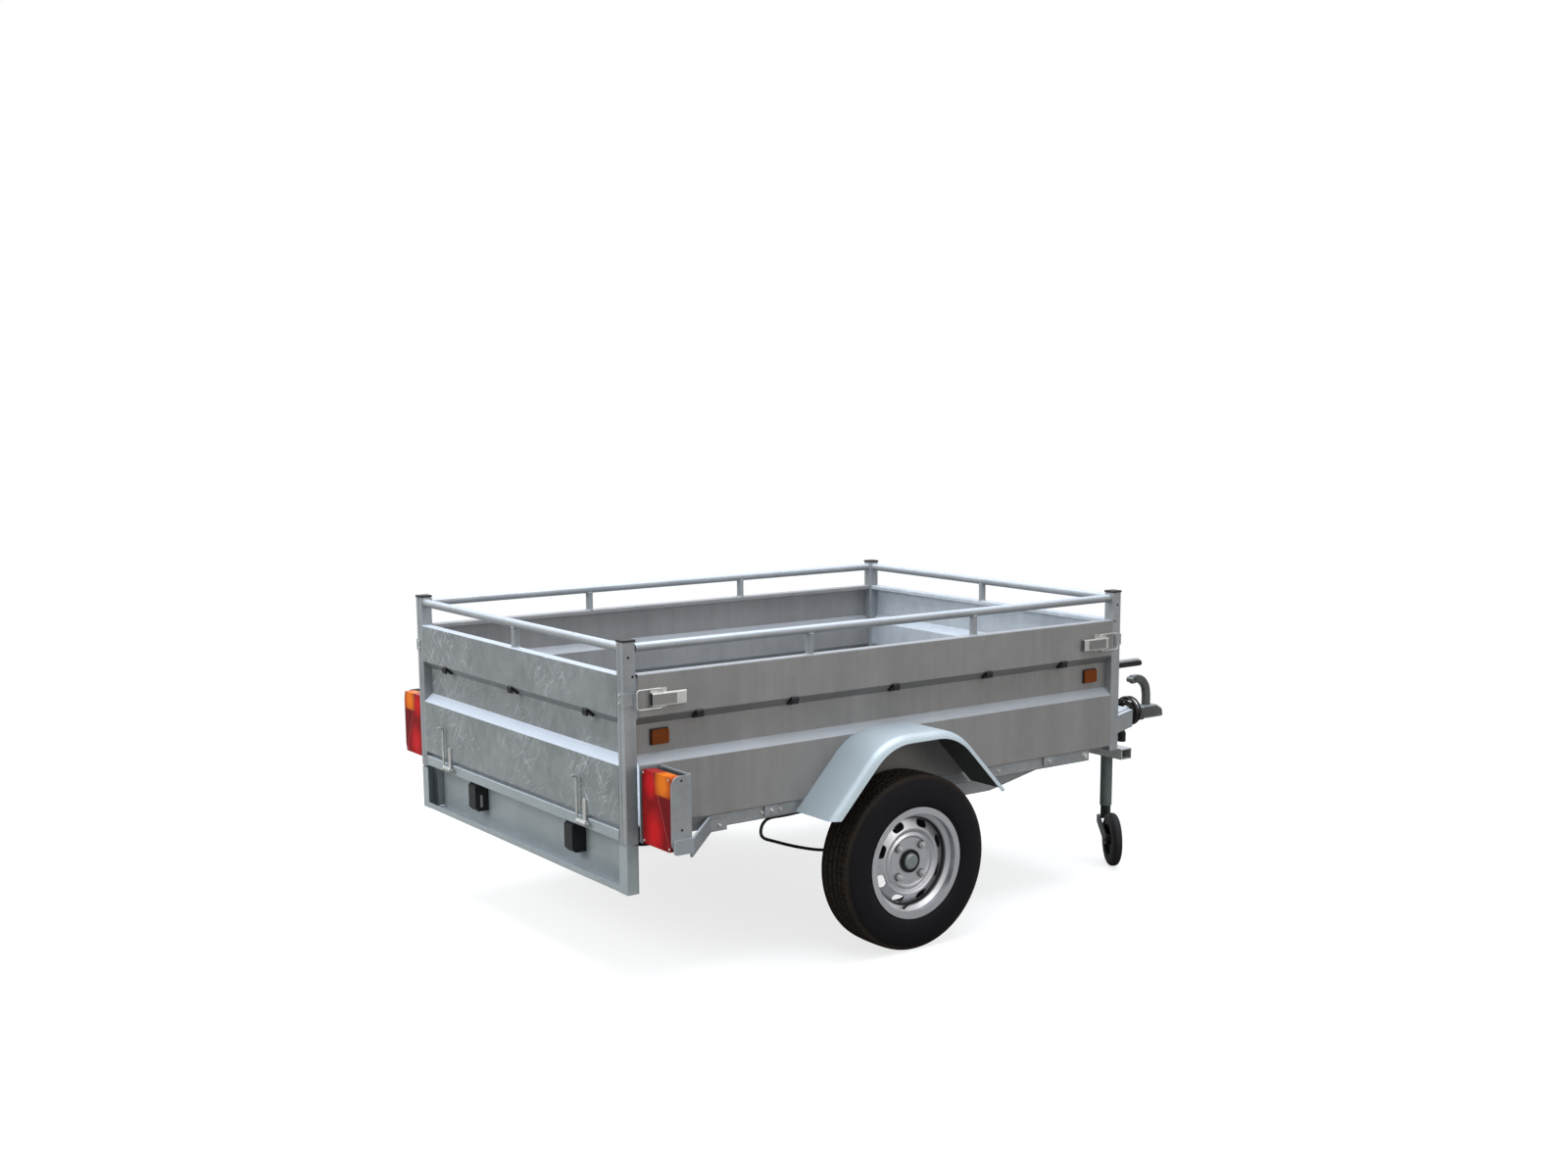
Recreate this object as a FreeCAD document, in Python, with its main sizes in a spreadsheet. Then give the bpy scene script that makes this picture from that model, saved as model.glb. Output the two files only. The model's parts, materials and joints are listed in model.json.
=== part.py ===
import FreeCAD, Part
import Sketcher
import math
import os
import re

# A small box trailer of folded galvanised sheet with drop-side rails, parked on its jockey wheel.
# Millimetres. X points to the right-hand side, Y forward to the coupling, Z up from the ground.
# Lengths along Y are measured from the rear face of the tail posts, and every piece is then
# carried back by ORIGIN, so that the frame's own origin lies under the middle of the trailer.

SIZES = {
    # Load box
    "BodyLength": 2000,
    "BodyWidth": 1400,
    "SheetThick": 2,
    "BendRound": 4,
    "PanelFoot": 500,
    "GateLift": 5,
    "RecessDepth": 30,
    "HemWide": 34,
    "HemDeep": 14,
    "FootFlange": 30,
    "GateGap": 7,
    "MoveGap": 5,
    "FitGap": 0.3,
    # Posts, caps and top rails
    "PostSide": 40,
    "PostWall": 2.5,
    "PostRound": 3,
    "PostAbove": 20,
    "PostHole": 8,
    "PostHoleHighDrop": 24,
    "PostHoleHighPlace": 16,
    "PostHoleLowDrop": 80,
    "PostHoleLowPlace": 30,
    "TailPostReach": 46,
    "FrontPostReach": 16,
    "GroovePlace": 25,
    "GrooveWide": 3,
    "GrooveDeep": 1,
    "CapThick": 6,
    "CapLip": 2,
    "RailHeight": 1023,
    "RailAbove": 75,
    "RailTube": 27,
    "RailWall": 2,
    "StanchionTube": 25,
    "StanchionPlace": 333,
    # Frame
    "FrameInset": 10,
    "FrameHigh": 41,
    "FrameWide": 50,
    "FrameWall": 2.5,
    "FrameFront": 1868,
    "TabPlace": 508,
    "TabFrontPlace": 1669,
    "TabLong": 48,
    "TabHigh": 30,
    "TabThick": 8,
    "CrossWide": 40,
    "CrossSecond": 560,
    "CrossThird": 1180,
    "CrossFront": 1768,
    "FloorRear": 50,
    # Rear apron
    "ApronHigh": 187,
    "ApronDrop": 7,
    "ApronDepth": 60,
    "ApronLip": 20,
    "HingeStrip": 32,
    "PlateLampPlace": 331,
    "PlateLampWide": 50,
    "PlateLampHigh": 97,
    "PlateLampDrop": 39,
    "PlateLampProud": 48,
    "PlateLampBevel": 12,
    # Tailgate hinges
    "HingePlace": 463,
    "HingeDrop": 14,
    "HingeBack": 12,
    "KnuckleRound": 9,
    "KnuckleWide": 18,
    "KnuckleGap": 1,
    "PinRod": 8,
    "PinHandleHigh": 141,
    "PinHandleBend": 8,
    "PinHandleKick": 14,
    "HingeLeafThick": 3,
    "HingeLeafHigh": 44,
    # Toggle latches and their catches
    "CatchHigh": 38,
    "CatchDrop": 51,
    "CatchThick": 3,
    "CatchWrap": 28,
    "CatchReach": 26,
    "CatchLip": 3,
    "LatchRearPlace": 35,
    "LatchFrontPlace": 24,
    "BailRod": 4,
    "BailBend": 10,
    "BailReach": 85,
    "BailHigh": 57,
    "BailDrop": 44,
    "LeverHigh": 41,
    "LeverDrop": 12,
    "LeverStart": 50,
    "LeverReach": 165,
    "LeverProud": 12,
    "LatchPlate": 4,
    "LatchPlateLong": 55,
    # Side markers and tarpaulin hooks
    "MarkerWide": 57,
    "MarkerLift": 25,
    "MarkerHigh": 44,
    "MarkerThick": 12,
    "MarkerPlace": 131,
    "MarkerFrontPlace": 121,
    "MarkerRound": 6,
    "HookWide": 26,
    "HookInner": 395,
    "HookOuter": 737,
    "HookShift": 11,
    "HookGate": 480,
    # Tail lamps
    "LampBack": 28.5,
    "LampClear": 43,
    "LampWide": 152,
    "LampLift": 2,
    "LampHigh": 216,
    "LampDeep": 60,
    "LampRound": 10,
    "LampLens": 34,
    "LampRim": 3,
    "GuardClear": 28,
    "GuardDrop": 33,
    "GuardHigh": 220,
    "GuardDepth": 68.5,
    "GuardWall": 3,
    "GuardRound": 30,
    "GuardArmHigh": 30,
    "GuardFootLong": 44,
    "GussetReach": 293,
    "GussetDrop": 19,
    "GuardHole": 8,
    "GuardHolePlace": 35,
    "GuardHoleHighDrop": 15,
    "GuardHoleLowLift": 64,
    "BraceFootLong": 56,
    "BraceFootHigh": 35,
    "MarkerLampProud": 9,
    "MarkerLampRear": 34,
    "MarkerLampDrop": 4,
    "MarkerLampRound": 8,
    "MarkerLampHigh": 43,
    # Wheels
    "WheelPlace": 945,
    "WheelOut": 96.5,
    "TyreRadius": 282,
    "TyreWide": 150,
    "RimSeat": 161,
    "RimFlange": 178,
    "RimWide": 134,
    "RimWell": 144,
    "RimWellShoulder": 90,
    "RimWellFloor": 72,
    "RimWall": 3,
    "DiscWall": 4,
    "DiscFace": 31,
    "DiscCrown": 42,
    "DiscCrownRound": 104,
    "DiscEdge": 22,
    "DiscDish": 92,
    "DiscRidge": 81,
    "DiscRidgeProud": 5,
    "DiscFlat": 75,
    "SlotCircle": 123,
    "SlotWide": 24,
    "SlotLong": 44,
    "SlotCount": 8,
    "BoltCircle": 65,
    "BoltRod": 16,
    "BoltHead": 18,
    "BoltHeadThick": 12,
    "BoltCount": 4,
    "HubFlange": 72,
    "HubFlangeThick": 12,
    "HubBarrel": 34,
    "HubInner": 45,
    "HubNose": 37,
    "HubNoseReach": 37,
    "HubCap": 26,
    "HubCapReach": 46,
    "HubCapRound": 8,
    "SpindleRod": 29.4,
    "SpindleReach": 34,
    # Axle
    "AxleForward": 140,
    "AxleDrop": 110,
    "AxleTube": 50,
    "AxleWall": 4,
    "AxleInset": 24,
    "ArmProud": 11,
    "ArmBeamRound": 38,
    "ArmHubRound": 26,
    "AxlePlateLong": 70,
    "AxlePlateWall": 6,
    # Mudguards
    "GuardArchFoot": 628,
    "GuardArchTop": 697,
    "GuardArchDrop": 32,
    "GuardArchTurn": 813,
    "GuardArchMiddle": 955,
    "GuardArchRound": 200,
    "GuardArchWide": 190,
    "GuardArchCrown": 34,
    "GuardArchLip": 24,
    "GuardArchWall": 2,
    # Drawbar
    "DrawbarWide": 40,
    "DrawbarWall": 4,
    "DrawbarRootPlace": 1060,
    "DrawbarInset": 120,
    "DrawbarBendPlace": 1482,
    "DrawbarHigh": 70,
    "CouplingNeckLong": 134,
    "DrawbarTipOut": 76,
    "GussetPlateLong": 152,
    "GussetPlateThick": 4,
    # Coupling
    "CouplingNose": 2975,
    "CouplingHeadLong": 129,
    "CouplingLift": 8,
    "CouplingFlange": 6,
    "CouplingWide": 70,
    "CouplingNoseRound": 34,
    "CouplingBody": 58,
    "CouplingHigh": 50,
    "CouplingRearRound": 12,
    "CouplingCrown": 45,
    "CouplingCrownRound": 24,
    "CouplingBrow": 11,
    "CouplingBrowHigh": 30,
    "CouplingBrowRound": 14,
    "CouplingRound": 8,
    "CouplingShankLong": 246,
    "CouplingShankWide": 50,
    "CouplingShankWall": 4,
    "CouplingShankRound": 8,
    "CouplingShankHigh": 56,
    "BallSetback": 42,
    "BallSize": 50,
    "BallLift": 12,
    "CouplingLever": 34,
    "CouplingLeverThick": 24,
    "CouplingLeverBend": 55,
    "CouplingLeverHole": 8,
    # Cables
    "LeadCable": 8,
    "CoilSetback": 64,
    "CoilLift": 44,
    "CoilRadius": 64,
    "CoilLong": 44,
    "PlugOut": 36,
    "PlugAhead": 5,
    "PlugLong": 40,
    "PlugBody": 34,
    "PlugNeck": 24,
    "PlugNeckLong": 14,
    "PlugGland": 12,
    "PlugGlandLong": 11,
    "PlugDrop": 5,
    "BodyCable": 10,
    "ClipWide": 20,
    "ClipThick": 16,
    "ClipHigh": 18,
    "RailClipInset": 48,
    "RailClipPlace": 698,
    "BeamClipOut": 510,
    "LeadClipOut": 112,
    "LeadClipSetback": 96,
    # Jockey wheel
    "JockeyOut": 442,
    "JockeyHeading": 238.5,
    "JockeyTube": 45,
    "JockeyWall": 3,
    "JockeyLift": 42,
    "JockeyTop": 692,
    "JockeyStem": 38,
    "JockeyStemTop": 417,
    "ForkLift": 65,
    "ForkThick": 6,
    "ForkWide": 54,
    "ForkCheek": 4,
    "ForkTrail": 105,
    "ForkFront": 24,
    "ForkBack": 20,
    "ForkRound": 14,
    "CasterRadius": 98,
    "CasterWide": 36,
    "CasterBevel": 8,
    "CasterRim": 60,
    "CasterHub": 20,
    "CasterHubWide": 42,
    "CasterWeb": 8,
    "CasterBolt": 12,
    "ClampHigh": 40,
    "ClampLift": 5,
    "ClampDeep": 53,
    "ClampReach": 99,
    "ClampWall": 3.7,
    "CrankRod": 16,
    "CrankLift": 44,
    "CrankThick": 8,
    "CrankWide": 25,
    "CrankReach": 165,
    "GripStart": 36,
    "GripRod": 22,
    "GripSeat": 1,
    # Clearance past a face for the cuts
    "Overrun": 5,
}

# Where each panel's folds come between its foot and its top
BAND_SHARES = {
    "LowerBandTop": 183 / 448,
    "RecessFoot": 209 / 448,
    "RecessTop": 297 / 448,
    "UpperBandFoot": 323 / 448,
}

# How far the jockey wheel stands from the front gate towards the drawbar's tip
JOCKEY_SHARE = 213 / 712

# Lengths that follow from others, as sums in the same sheet
TIES = {
    "PostTop": "RailHeight + PostAbove",
    "PanelTop": "RailHeight - RailAbove",
    **{name: f"PanelFoot + {share} * (PanelTop - PanelFoot)" for name, share in BAND_SHARES.items()},
    "PostHoleHigh": "RailHeight - PostHoleHighDrop",
    "PostHoleLow": "RailHeight - PostHoleLowDrop",
    "GateFoot": "PanelFoot + GateLift",
    "TailPostFoot": "PanelFoot - TailPostReach",
    "FrontPostFoot": "PanelFoot - FrontPostReach",
    "FrameFoot": "PanelFoot - FrameHigh",
    "ApronTop": "PanelFoot - ApronDrop",
    "ApronFoot": "ApronTop - ApronHigh",
    "PlateLampTop": "ApronTop - PlateLampDrop",
    "PlateLampFoot": "PlateLampTop - PlateLampHigh",
    "HingeHeight": "ApronTop - HingeDrop",
    "HingeLeafTop": "GateFoot + HingeLeafHigh",
    "PinHandleTop": "HingeHeight + PinHandleHigh",
    "CatchTop": "PanelTop - CatchDrop",
    "CatchFoot": "CatchTop - CatchHigh",
    "BailTop": "PanelTop - BailDrop",
    "BailFoot": "BailTop - BailHigh",
    "LeverTop": "BailTop - LeverDrop",
    "LeverFoot": "LeverTop - LeverHigh",
    "MarkerFoot": "RecessFoot + MarkerLift",
    "MarkerTop": "MarkerFoot + MarkerHigh",
    "LampInner": "BodyWidth / 2 + LampClear",
    "LampOuter": "LampInner + LampWide",
    "GuardInner": "BodyWidth / 2 + GuardClear",
    "GuardFoot": "PanelFoot - GuardDrop",
    "GuardTop": "GuardFoot + GuardHigh",
    "GuardArmTop": "GuardFoot + GuardArmHigh",
    "GussetFoot": "GuardFoot - GussetDrop",
    "GuardHoleHigh": "GuardTop - GuardHoleHighDrop",
    "GuardHoleLow": "GuardFoot + GuardHoleLowLift",
    "LampFoot": "GuardFoot + LampLift",
    "LampTop": "LampFoot + LampHigh",
    "MarkerLampFoot": "GuardFoot - MarkerLampDrop",
    "MarkerLampTop": "MarkerLampFoot + MarkerLampHigh",
    "AxleRise": "FrameFoot - AxleDrop - TyreRadius",
    "AxleEnd": "BodyWidth / 2 - AxleInset",
    "ArmOuter": "BodyWidth / 2 + ArmProud",
    "GuardArchEnd": "PanelFoot - GuardArchDrop",
    "DrawbarFoot": "FrameFoot - DrawbarHigh",
    "DrawbarRootOut": "BodyWidth / 2 - DrawbarInset",
    "CouplingHeadRear": "CouplingNose - CouplingHeadLong",
    "DrawbarTipPlace": "CouplingHeadRear - CouplingNeckLong",
    "GussetPlateRear": "DrawbarTipPlace - GussetPlateLong",
    "CouplingFoot": "DrawbarFoot + CouplingLift",
    "CouplingTop": "CouplingFoot + CouplingHigh",
    "CouplingBrowTop": "CouplingFoot + CouplingBrowHigh",
    "CouplingShankRear": "CouplingHeadRear - CouplingShankLong",
    "CouplingShankTop": "DrawbarFoot + CouplingShankHigh",
    "BallPlace": "CouplingNose - BallSetback",
    "BallHeight": "CouplingFoot + BallLift",
    "CoilPlace": "CouplingHeadRear - CoilSetback",
    "CoilHeight": "DrawbarFoot + CoilLift",
    "PlugPlace": "DrawbarTipPlace + PlugAhead",
    "PlugTop": "DrawbarFoot - PlugDrop",
    "PlugGlandFoot": "PlugTop - PlugGlandLong",
    "PlugNeckFoot": "PlugGlandFoot - PlugNeckLong",
    "PlugFoot": "PlugNeckFoot - PlugLong",
    "RailClipOut": "BodyWidth / 2 - RailClipInset",
    "BeamClipHeight": "TyreRadius + AxleRise - AxleTube / 2",
    "LeadClipPlace": "DrawbarTipPlace - LeadClipSetback",
    "ForkTop": "CasterRadius + ForkLift",
    "JockeyFoot": "ForkTop + JockeyLift",
    "ClampFoot": "DrawbarFoot + ClampLift",
    "CrankHeight": "JockeyTop + CrankLift",
    "JockeyPlace": f"BodyLength + {JOCKEY_SHARE} * (DrawbarTipPlace - BodyLength)",
}

# Half way between the coupling's nose and the hinge pins' handles, the two ends of the trailer
REAR_REACH = "(HingeBack + PinHandleKick + PinRod / 2)"
ORIGIN = f"(CouplingNose - {REAR_REACH}) / 2"

# Places on the tyre's section: share of half its width, share of its height above the bead seat
TYRE_SKIN_SHARES = [(0.72, 0.004), (1.0, 0.34), (1.0, 0.72), (0.78, 1.0)]
TYRE_CORD_SHARES = [(0.62, 0.80), (0.62, 0.004)]

# The hook's outline: share of the recess depth inward, share of the slope's height above the recess
HOOK_SHARES = [(0.75, 0.25), (0.12, 0.88), (-0.12, 1.12), (-0.3, 0.95), (-0.2, 0.25), (-0.02, 0.2), (-0.05, 0.6),
               (0.3, 0.35), (0.55, 0.05)]

# The coupling lever's centre line: share of the head's length back from the nose, share of the head's height
LEVER_SHARES = [(0.636, 1.0), (0.636, 1.8), (0.674, 2.5), (0.829, 3.04), (1.062, 3.32), (1.326, 3.24)]
LEVER_HOLE_SHARES = (1.27, 3.25)

# The points that each cable runs through, measured as everything else here: across, along, up
LEAD_ROUTE = [
    (-112, 2616, 405), (-112, 2640, 405), (-95, 2680, 412), (-66, 2720, 425), (-51.8, 2743, 428),
    (-51.8, 2760, 428)]
TAIL_ROUTE = [(38, 2760, 434), (38, 2743, 434), (37.5, 2724, 421.5), (36, 2717, 402), (36, 2717, 384)]
BODY_CABLE_ROUTE = [
    (652, 690, 450), (652, 652, 450), (647, 595, 445), (642, 535, 446), (638, 515, 428), (634, 510.5, 402),
    (628, 523.5, 379.5), (620, 565.5, 363.4), (600, 653, 329), (575, 760, 294), (562, 822, 280),
    (540, 930, 273), (526, 980, 291), (512, 1016, 320), (512, 1044, 320)]

doc = FreeCAD.newDocument("utility_trailer")
sheet = doc.addObject("Spreadsheet::Sheet", "Sizes")
cell_texts = [(alias, str(number)) for alias, number in SIZES.items()]
cell_texts += [(alias, f"={text}") for alias, text in TIES.items()]
for row, (alias, text) in enumerate(cell_texts, start=1):
    sheet.set(f"A{row}", alias)
    sheet.set(f"B{row}", text)
    sheet.setAlias(f"B{row}", alias)
doc.recompute()

nodes = {}


def cells(text):
    """The same sum with each size named as a cell of the sheet."""
    return re.sub(r"\b([A-Z]\w+)", r"Sizes.\1", text)


def value(text):
    found = sheet.evalExpression(cells(text))
    return float(getattr(found, "Value", found))


def keep(label, piece):
    piece.Label = label
    nodes[label] = piece
    return piece


def body(label):
    piece = doc.addObject("PartDesign::Body", label)
    piece.AllowCompound = True
    piece.setExpression("Placement.Base.y", cells(f"-({ORIGIN})"))
    return piece


def place(piece, across, along, up, turn=None):
    """Stands a body that is drawn about its own axis."""
    piece.setExpression("Placement.Base.x", cells(across))
    piece.setExpression("Placement.Base.y", cells(f"{along} - ({ORIGIN})"))
    piece.setExpression("Placement.Base.z", cells(up))
    if turn:
        piece.setExpression("Placement.Rotation.Angle", cells(turn))
    return piece


def blank(piece, role, start):
    """An empty sketch on one of the body's own planes, moved along the frame's axis by start."""
    outline = piece.newObject("Sketcher::SketchObject", "Outline")
    base = next(item for item in piece.Origin.OriginFeatures if item.Role == role)
    outline.AttachmentSupport = (base, [""])
    outline.MapMode = "FlatFace"
    sign = "-" if role == "XZ_Plane" else ""
    outline.setExpression("AttachmentOffset.Base.z", cells(f"{sign}({start})"))
    return outline


def corner_arc(here, back, ahead, radius):
    """Where a round of this radius leaves the two sides that meet here, and its centre."""
    half = back.getAngle(ahead) / 2
    run = radius / math.tan(half)
    middle = here + (back + ahead).normalize() * (radius / math.sin(half))
    return here + back * run, here + ahead * run, middle


def draw(outline, corners, closed=True):
    """Draws an outline, or an open path. A corner is (across, up) or (across, up, radius)."""
    count = len(corners)
    runs = count if closed else count - 1
    spots = [FreeCAD.Vector(value(corner[0]), value(corner[1]), 0) for corner in corners]
    ends = []
    for index, corner in enumerate(corners):
        here = spots[index]
        back = (spots[index - 1] - here).normalize()
        ahead = (spots[(index + 1) % count] - here).normalize()
        if len(corner) == 3:
            ends.append(corner_arc(here, back, ahead, value(corner[2])) + (back.cross(ahead).z < 0,))
        else:
            ends.append((here, here, None, False))
    outline.addGeometry(
        [Part.LineSegment(ends[index][1], ends[(index + 1) % count][0]) for index in range(runs)], False)
    rules = []
    bound = []
    for index, corner in enumerate(corners):
        before = (index - 1) % count
        leave, arrive, middle, anticlockwise = ends[index]
        pin = (index, 1)
        if index == runs:
            pin = (before, 2)
        elif middle is None:
            if closed or index:
                rules.append(Sketcher.Constraint("Coincident", before, 2, index, 1))
        else:
            first, last = (leave, arrive) if anticlockwise else (arrive, leave)
            from_angle = math.atan2(first.y - middle.y, first.x - middle.x)
            to_angle = math.atan2(last.y - middle.y, last.x - middle.x)
            if to_angle < from_angle:
                to_angle += 2 * math.pi
            circle = Part.Circle(middle, FreeCAD.Vector(0, 0, 1), middle.distanceToPoint(leave))
            arc = outline.addGeometry(Part.ArcOfCircle(circle, from_angle, to_angle), False)
            spot = outline.addGeometry(Part.Point(spots[index]), True)
            start, finish = (1, 2) if anticlockwise else (2, 1)
            rules.append(Sketcher.Constraint("Tangent", before, 2, arc, start))
            rules.append(Sketcher.Constraint("Tangent", arc, finish, index, 1))
            bound.append((len(rules), corner[2]))
            rules.append(Sketcher.Constraint("Radius", arc, circle.Radius))
            rules.append(Sketcher.Constraint("PointOnObject", spot, 1, before))
            rules.append(Sketcher.Constraint("PointOnObject", spot, 1, index))
            pin = (spot, 1)
        bound.append((len(rules), corner[0]))
        rules.append(Sketcher.Constraint("DistanceX", -1, 1, *pin, spots[index].x))
        bound.append((len(rules), corner[1]))
        rules.append(Sketcher.Constraint("DistanceY", -1, 1, *pin, spots[index].y))
    outline.addConstraint(rules)
    for rule, text in bound:
        outline.setExpression(f"Constraints[{rule}]", cells(text))


def ring(outline, centre, radius):
    """Draws a full circle."""
    middle = FreeCAD.Vector(value(centre[0]), value(centre[1]), 0)
    circle = outline.addGeometry(Part.Circle(middle, FreeCAD.Vector(0, 0, 1), value(radius)), False)
    first = outline.addConstraint([
        Sketcher.Constraint("DistanceX", -1, 1, circle, 3, middle.x),
        Sketcher.Constraint("DistanceY", -1, 1, circle, 3, middle.y),
        Sketcher.Constraint("Radius", circle, value(radius))])[0]
    for step, text in enumerate((*centre, radius)):
        outline.setExpression(f"Constraints[{first + step}]", cells(text))


def pad(piece, outline, role, length):
    """Fills the outline towards the positive end of the axis."""
    feature = piece.newObject("PartDesign::Pad", "Pad")
    feature.Profile = outline
    feature.Reversed = role == "XZ_Plane"
    feature.setExpression("Length", cells(length))
    return feature


def pocket(piece, outline, role, length):
    """Cuts the outline out towards the positive end of the axis."""
    feature = piece.newObject("PartDesign::Pocket", "Pocket")
    feature.Profile = outline
    feature.Reversed = role != "XZ_Plane"
    feature.setExpression("Length", cells(length))
    return feature


def slab(piece, role, corners, start, length):
    outline = blank(piece, role, start)
    draw(outline, corners)
    return pad(piece, outline, role, length)


def notch(piece, role, corners, start, length):
    outline = blank(piece, role, start)
    draw(outline, corners)
    return pocket(piece, outline, role, length)


def rod(piece, role, centre, radius, start, length, inner=None):
    outline = blank(piece, role, start)
    ring(outline, centre, radius)
    if inner:
        ring(outline, centre, inner)
    return pad(piece, outline, role, length)


def bore(piece, role, centre, radius, start, length):
    outline = blank(piece, role, start)
    ring(outline, centre, radius)
    return pocket(piece, outline, role, length)


def rectangle(left, right, low, high, radius=None):
    spots = [(left, low), (right, low), (right, high), (left, high)]
    return [spot + (radius,) for spot in spots] if radius else spots


def wire(piece, role, start, corners, closed=False, across=None, thick=None, radius=None):
    """Sweeps a round, or a section across by thick, along a path with rounded corners."""
    path = blank(piece, role, start)
    draw(path, corners, closed)
    section = piece.newObject("Sketcher::SketchObject", "Section")
    section.AttachmentSupport = (path, ["Edge1"])
    section.MapMode = "NormalToEdge"
    if radius:
        ring(section, ("0", "0"), radius)
    else:
        draw(section, rectangle(f"-({thick}) / 2", f"({thick}) / 2", f"-({across}) / 2", f"({across}) / 2",
                                f"({thick}) / 4"))
    sweep = piece.newObject("PartDesign::AdditivePipe", "Sweep")
    sweep.Profile = section
    sweep.Spine = (path, [""])
    return sweep


def spun(piece, corners, role="XY_Plane"):
    """Turns an outline, drawn as place along its plane's first axis and radius, about that axis."""
    outline = blank(piece, role, "0")
    draw(outline, corners)
    feature = piece.newObject("PartDesign::Revolution", "Revolution")
    feature.Profile = outline
    feature.ReferenceAxis = (outline, ["H_Axis"])
    feature.Angle = 360
    return feature


def around(piece, feature, count):
    """Repeats a feature about the axis of its own sketch."""
    pattern = piece.newObject("PartDesign::PolarPattern", "Pattern")
    pattern.Originals = [feature]
    pattern.Axis = (feature.Profile[0], ["N_Axis"])
    pattern.Angle = 360
    pattern.setExpression("Occurrences", cells(count))
    piece.Tip = pattern
    return pattern


def mirrored(label, piece):
    """The same piece on the left-hand side."""
    other = doc.addObject("Part::Mirroring", label)
    other.Source = piece
    other.Normal = (1, 0, 0)
    return other


def both_sides(label, piece):
    """One node of a piece and its mirror image."""
    group = doc.addObject("Part::Compound", label)
    group.Links = [piece, mirrored(f"{label}_left", piece)]
    return keep(label, group)


HALF = "BodyWidth / 2"
INNER = "(BodyWidth / 2 - PostSide)"


def panel_corners(face, inward, foot):
    """Section of a folded panel whose outer plane is at face, with its box hem and foot flange."""
    def at(depth, up, *radius):
        return (f"{face} {inward} ({depth})", up, *radius)

    low = "SheetThick * tan(atan(RecessDepth / (RecessFoot - LowerBandTop)) / 2)"
    high = "SheetThick * tan(atan(RecessDepth / (UpperBandFoot - RecessTop)) / 2)"
    outside, inside = "BendRound", "BendRound - SheetThick"
    return [
        at("FootFlange", foot),
        at("0", foot, outside),
        at("0", "LowerBandTop", outside),
        at("RecessDepth", "RecessFoot", inside),
        at("RecessDepth", "RecessTop", inside),
        at("0", "UpperBandFoot", outside),
        at("0", "PanelTop", outside),
        at("HemWide", "PanelTop", outside),
        at("HemWide", "PanelTop - HemDeep"),
        at("HemWide - SheetThick", "PanelTop - HemDeep"),
        at("HemWide - SheetThick", "PanelTop - SheetThick", inside),
        at("SheetThick", "PanelTop - SheetThick", inside),
        at("SheetThick", f"UpperBandFoot + {high}", inside),
        at("RecessDepth + SheetThick", f"RecessTop + {high}", outside),
        at("RecessDepth + SheetThick", f"RecessFoot - {low}", outside),
        at("SheetThick", f"LowerBandTop - {low}", inside),
        at("SheetThick", f"{foot} + SheetThick", inside),
        at("FootFlange", f"{foot} + SheetThick"),
    ]


def make_side_panels():
    panel = body("side_panel_right")
    slab(panel, "XZ_Plane", panel_corners(HALF, "-", "PanelFoot"),
         "PostSide + GateGap", "BodyLength - 2 * PostSide - GateGap")
    keep("side_panel_right", panel)
    keep("side_panel_left", mirrored("side_panel_left", panel))


def make_gate_panel(label, face, inward, foot):
    panel = body(label)
    slab(panel, "YZ_Plane", panel_corners(face, inward, foot), f"-{INNER}", f"2 * {INNER}")
    keep(label, panel)


def make_gate_frame(label, face, inward, foot):
    """Two folded corner posts with the round rail and its stanchion between them."""
    frame = body(label)
    for side in ("", "-"):
        def at(depth, along, *radius):
            return (f"{side}({HALF} - ({depth}))", f"{face} {inward} ({along})", *radius)

        slab(frame, "XY_Plane", [
            at("0", "0", "PostRound"),
            at("GroovePlace - GrooveWide", "0"),
            at("GroovePlace - GrooveWide", "GrooveDeep"),
            at("GroovePlace", "GrooveDeep"),
            at("GroovePlace", "0"),
            at("PostSide", "0", "PostRound"),
            at("PostSide", "PostSide", "PostRound"),
            at("0", "PostSide", "PostRound"),
        ], foot, f"PostTop - {foot}")
        notch(frame, "XY_Plane", [
            at("PostWall", "PostWall"),
            at("PostSide - PostWall", "PostWall"),
            at("PostSide - PostWall", "PostSide - PostWall"),
            at("PostWall", "PostSide - PostWall"),
        ], f"{foot} - Overrun", f"PostTop - {foot} + 2 * Overrun")
        wall = f"-({HALF}) - Overrun" if side else f"{HALF} - PostWall - Overrun"
        for along, height in (("PostHoleHighPlace", "PostHoleHigh"), ("PostHoleLowPlace", "PostHoleLow")):
            bore(frame, "YZ_Plane", (f"{face} {inward} {along}", height), "PostHole / 2", wall,
                 "PostWall + 2 * Overrun")
    middle = f"{face} {inward} (PostSide / 2)"
    rod(frame, "YZ_Plane", (middle, "RailHeight"), "RailTube / 2", f"-{INNER}", f"2 * {INNER}",
        inner="RailTube / 2 - RailWall")
    rod(frame, "XY_Plane", ("0", middle), "StanchionTube / 2", "PanelTop", "RailHeight - PanelTop")
    keep(label, frame)


def make_caps(label, face, inward):
    cap = body(f"{label}_right")
    low, high = "PostTop", "PostTop + CapThick"
    sign = inward
    slab(cap, "XY_Plane", [
        (f"{HALF} + CapLip", f"{face} {sign} (-CapLip)", "PostRound"),
        (f"{HALF} + CapLip", f"{face} {sign} (PostSide + CapLip)", "PostRound"),
        (f"{INNER} - CapLip", f"{face} {sign} (PostSide + CapLip)", "PostRound"),
        (f"{INNER} - CapLip", f"{face} {sign} (-CapLip)", "PostRound"),
    ], low, f"{high} - {low}")
    both_sides(label, cap)


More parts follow.
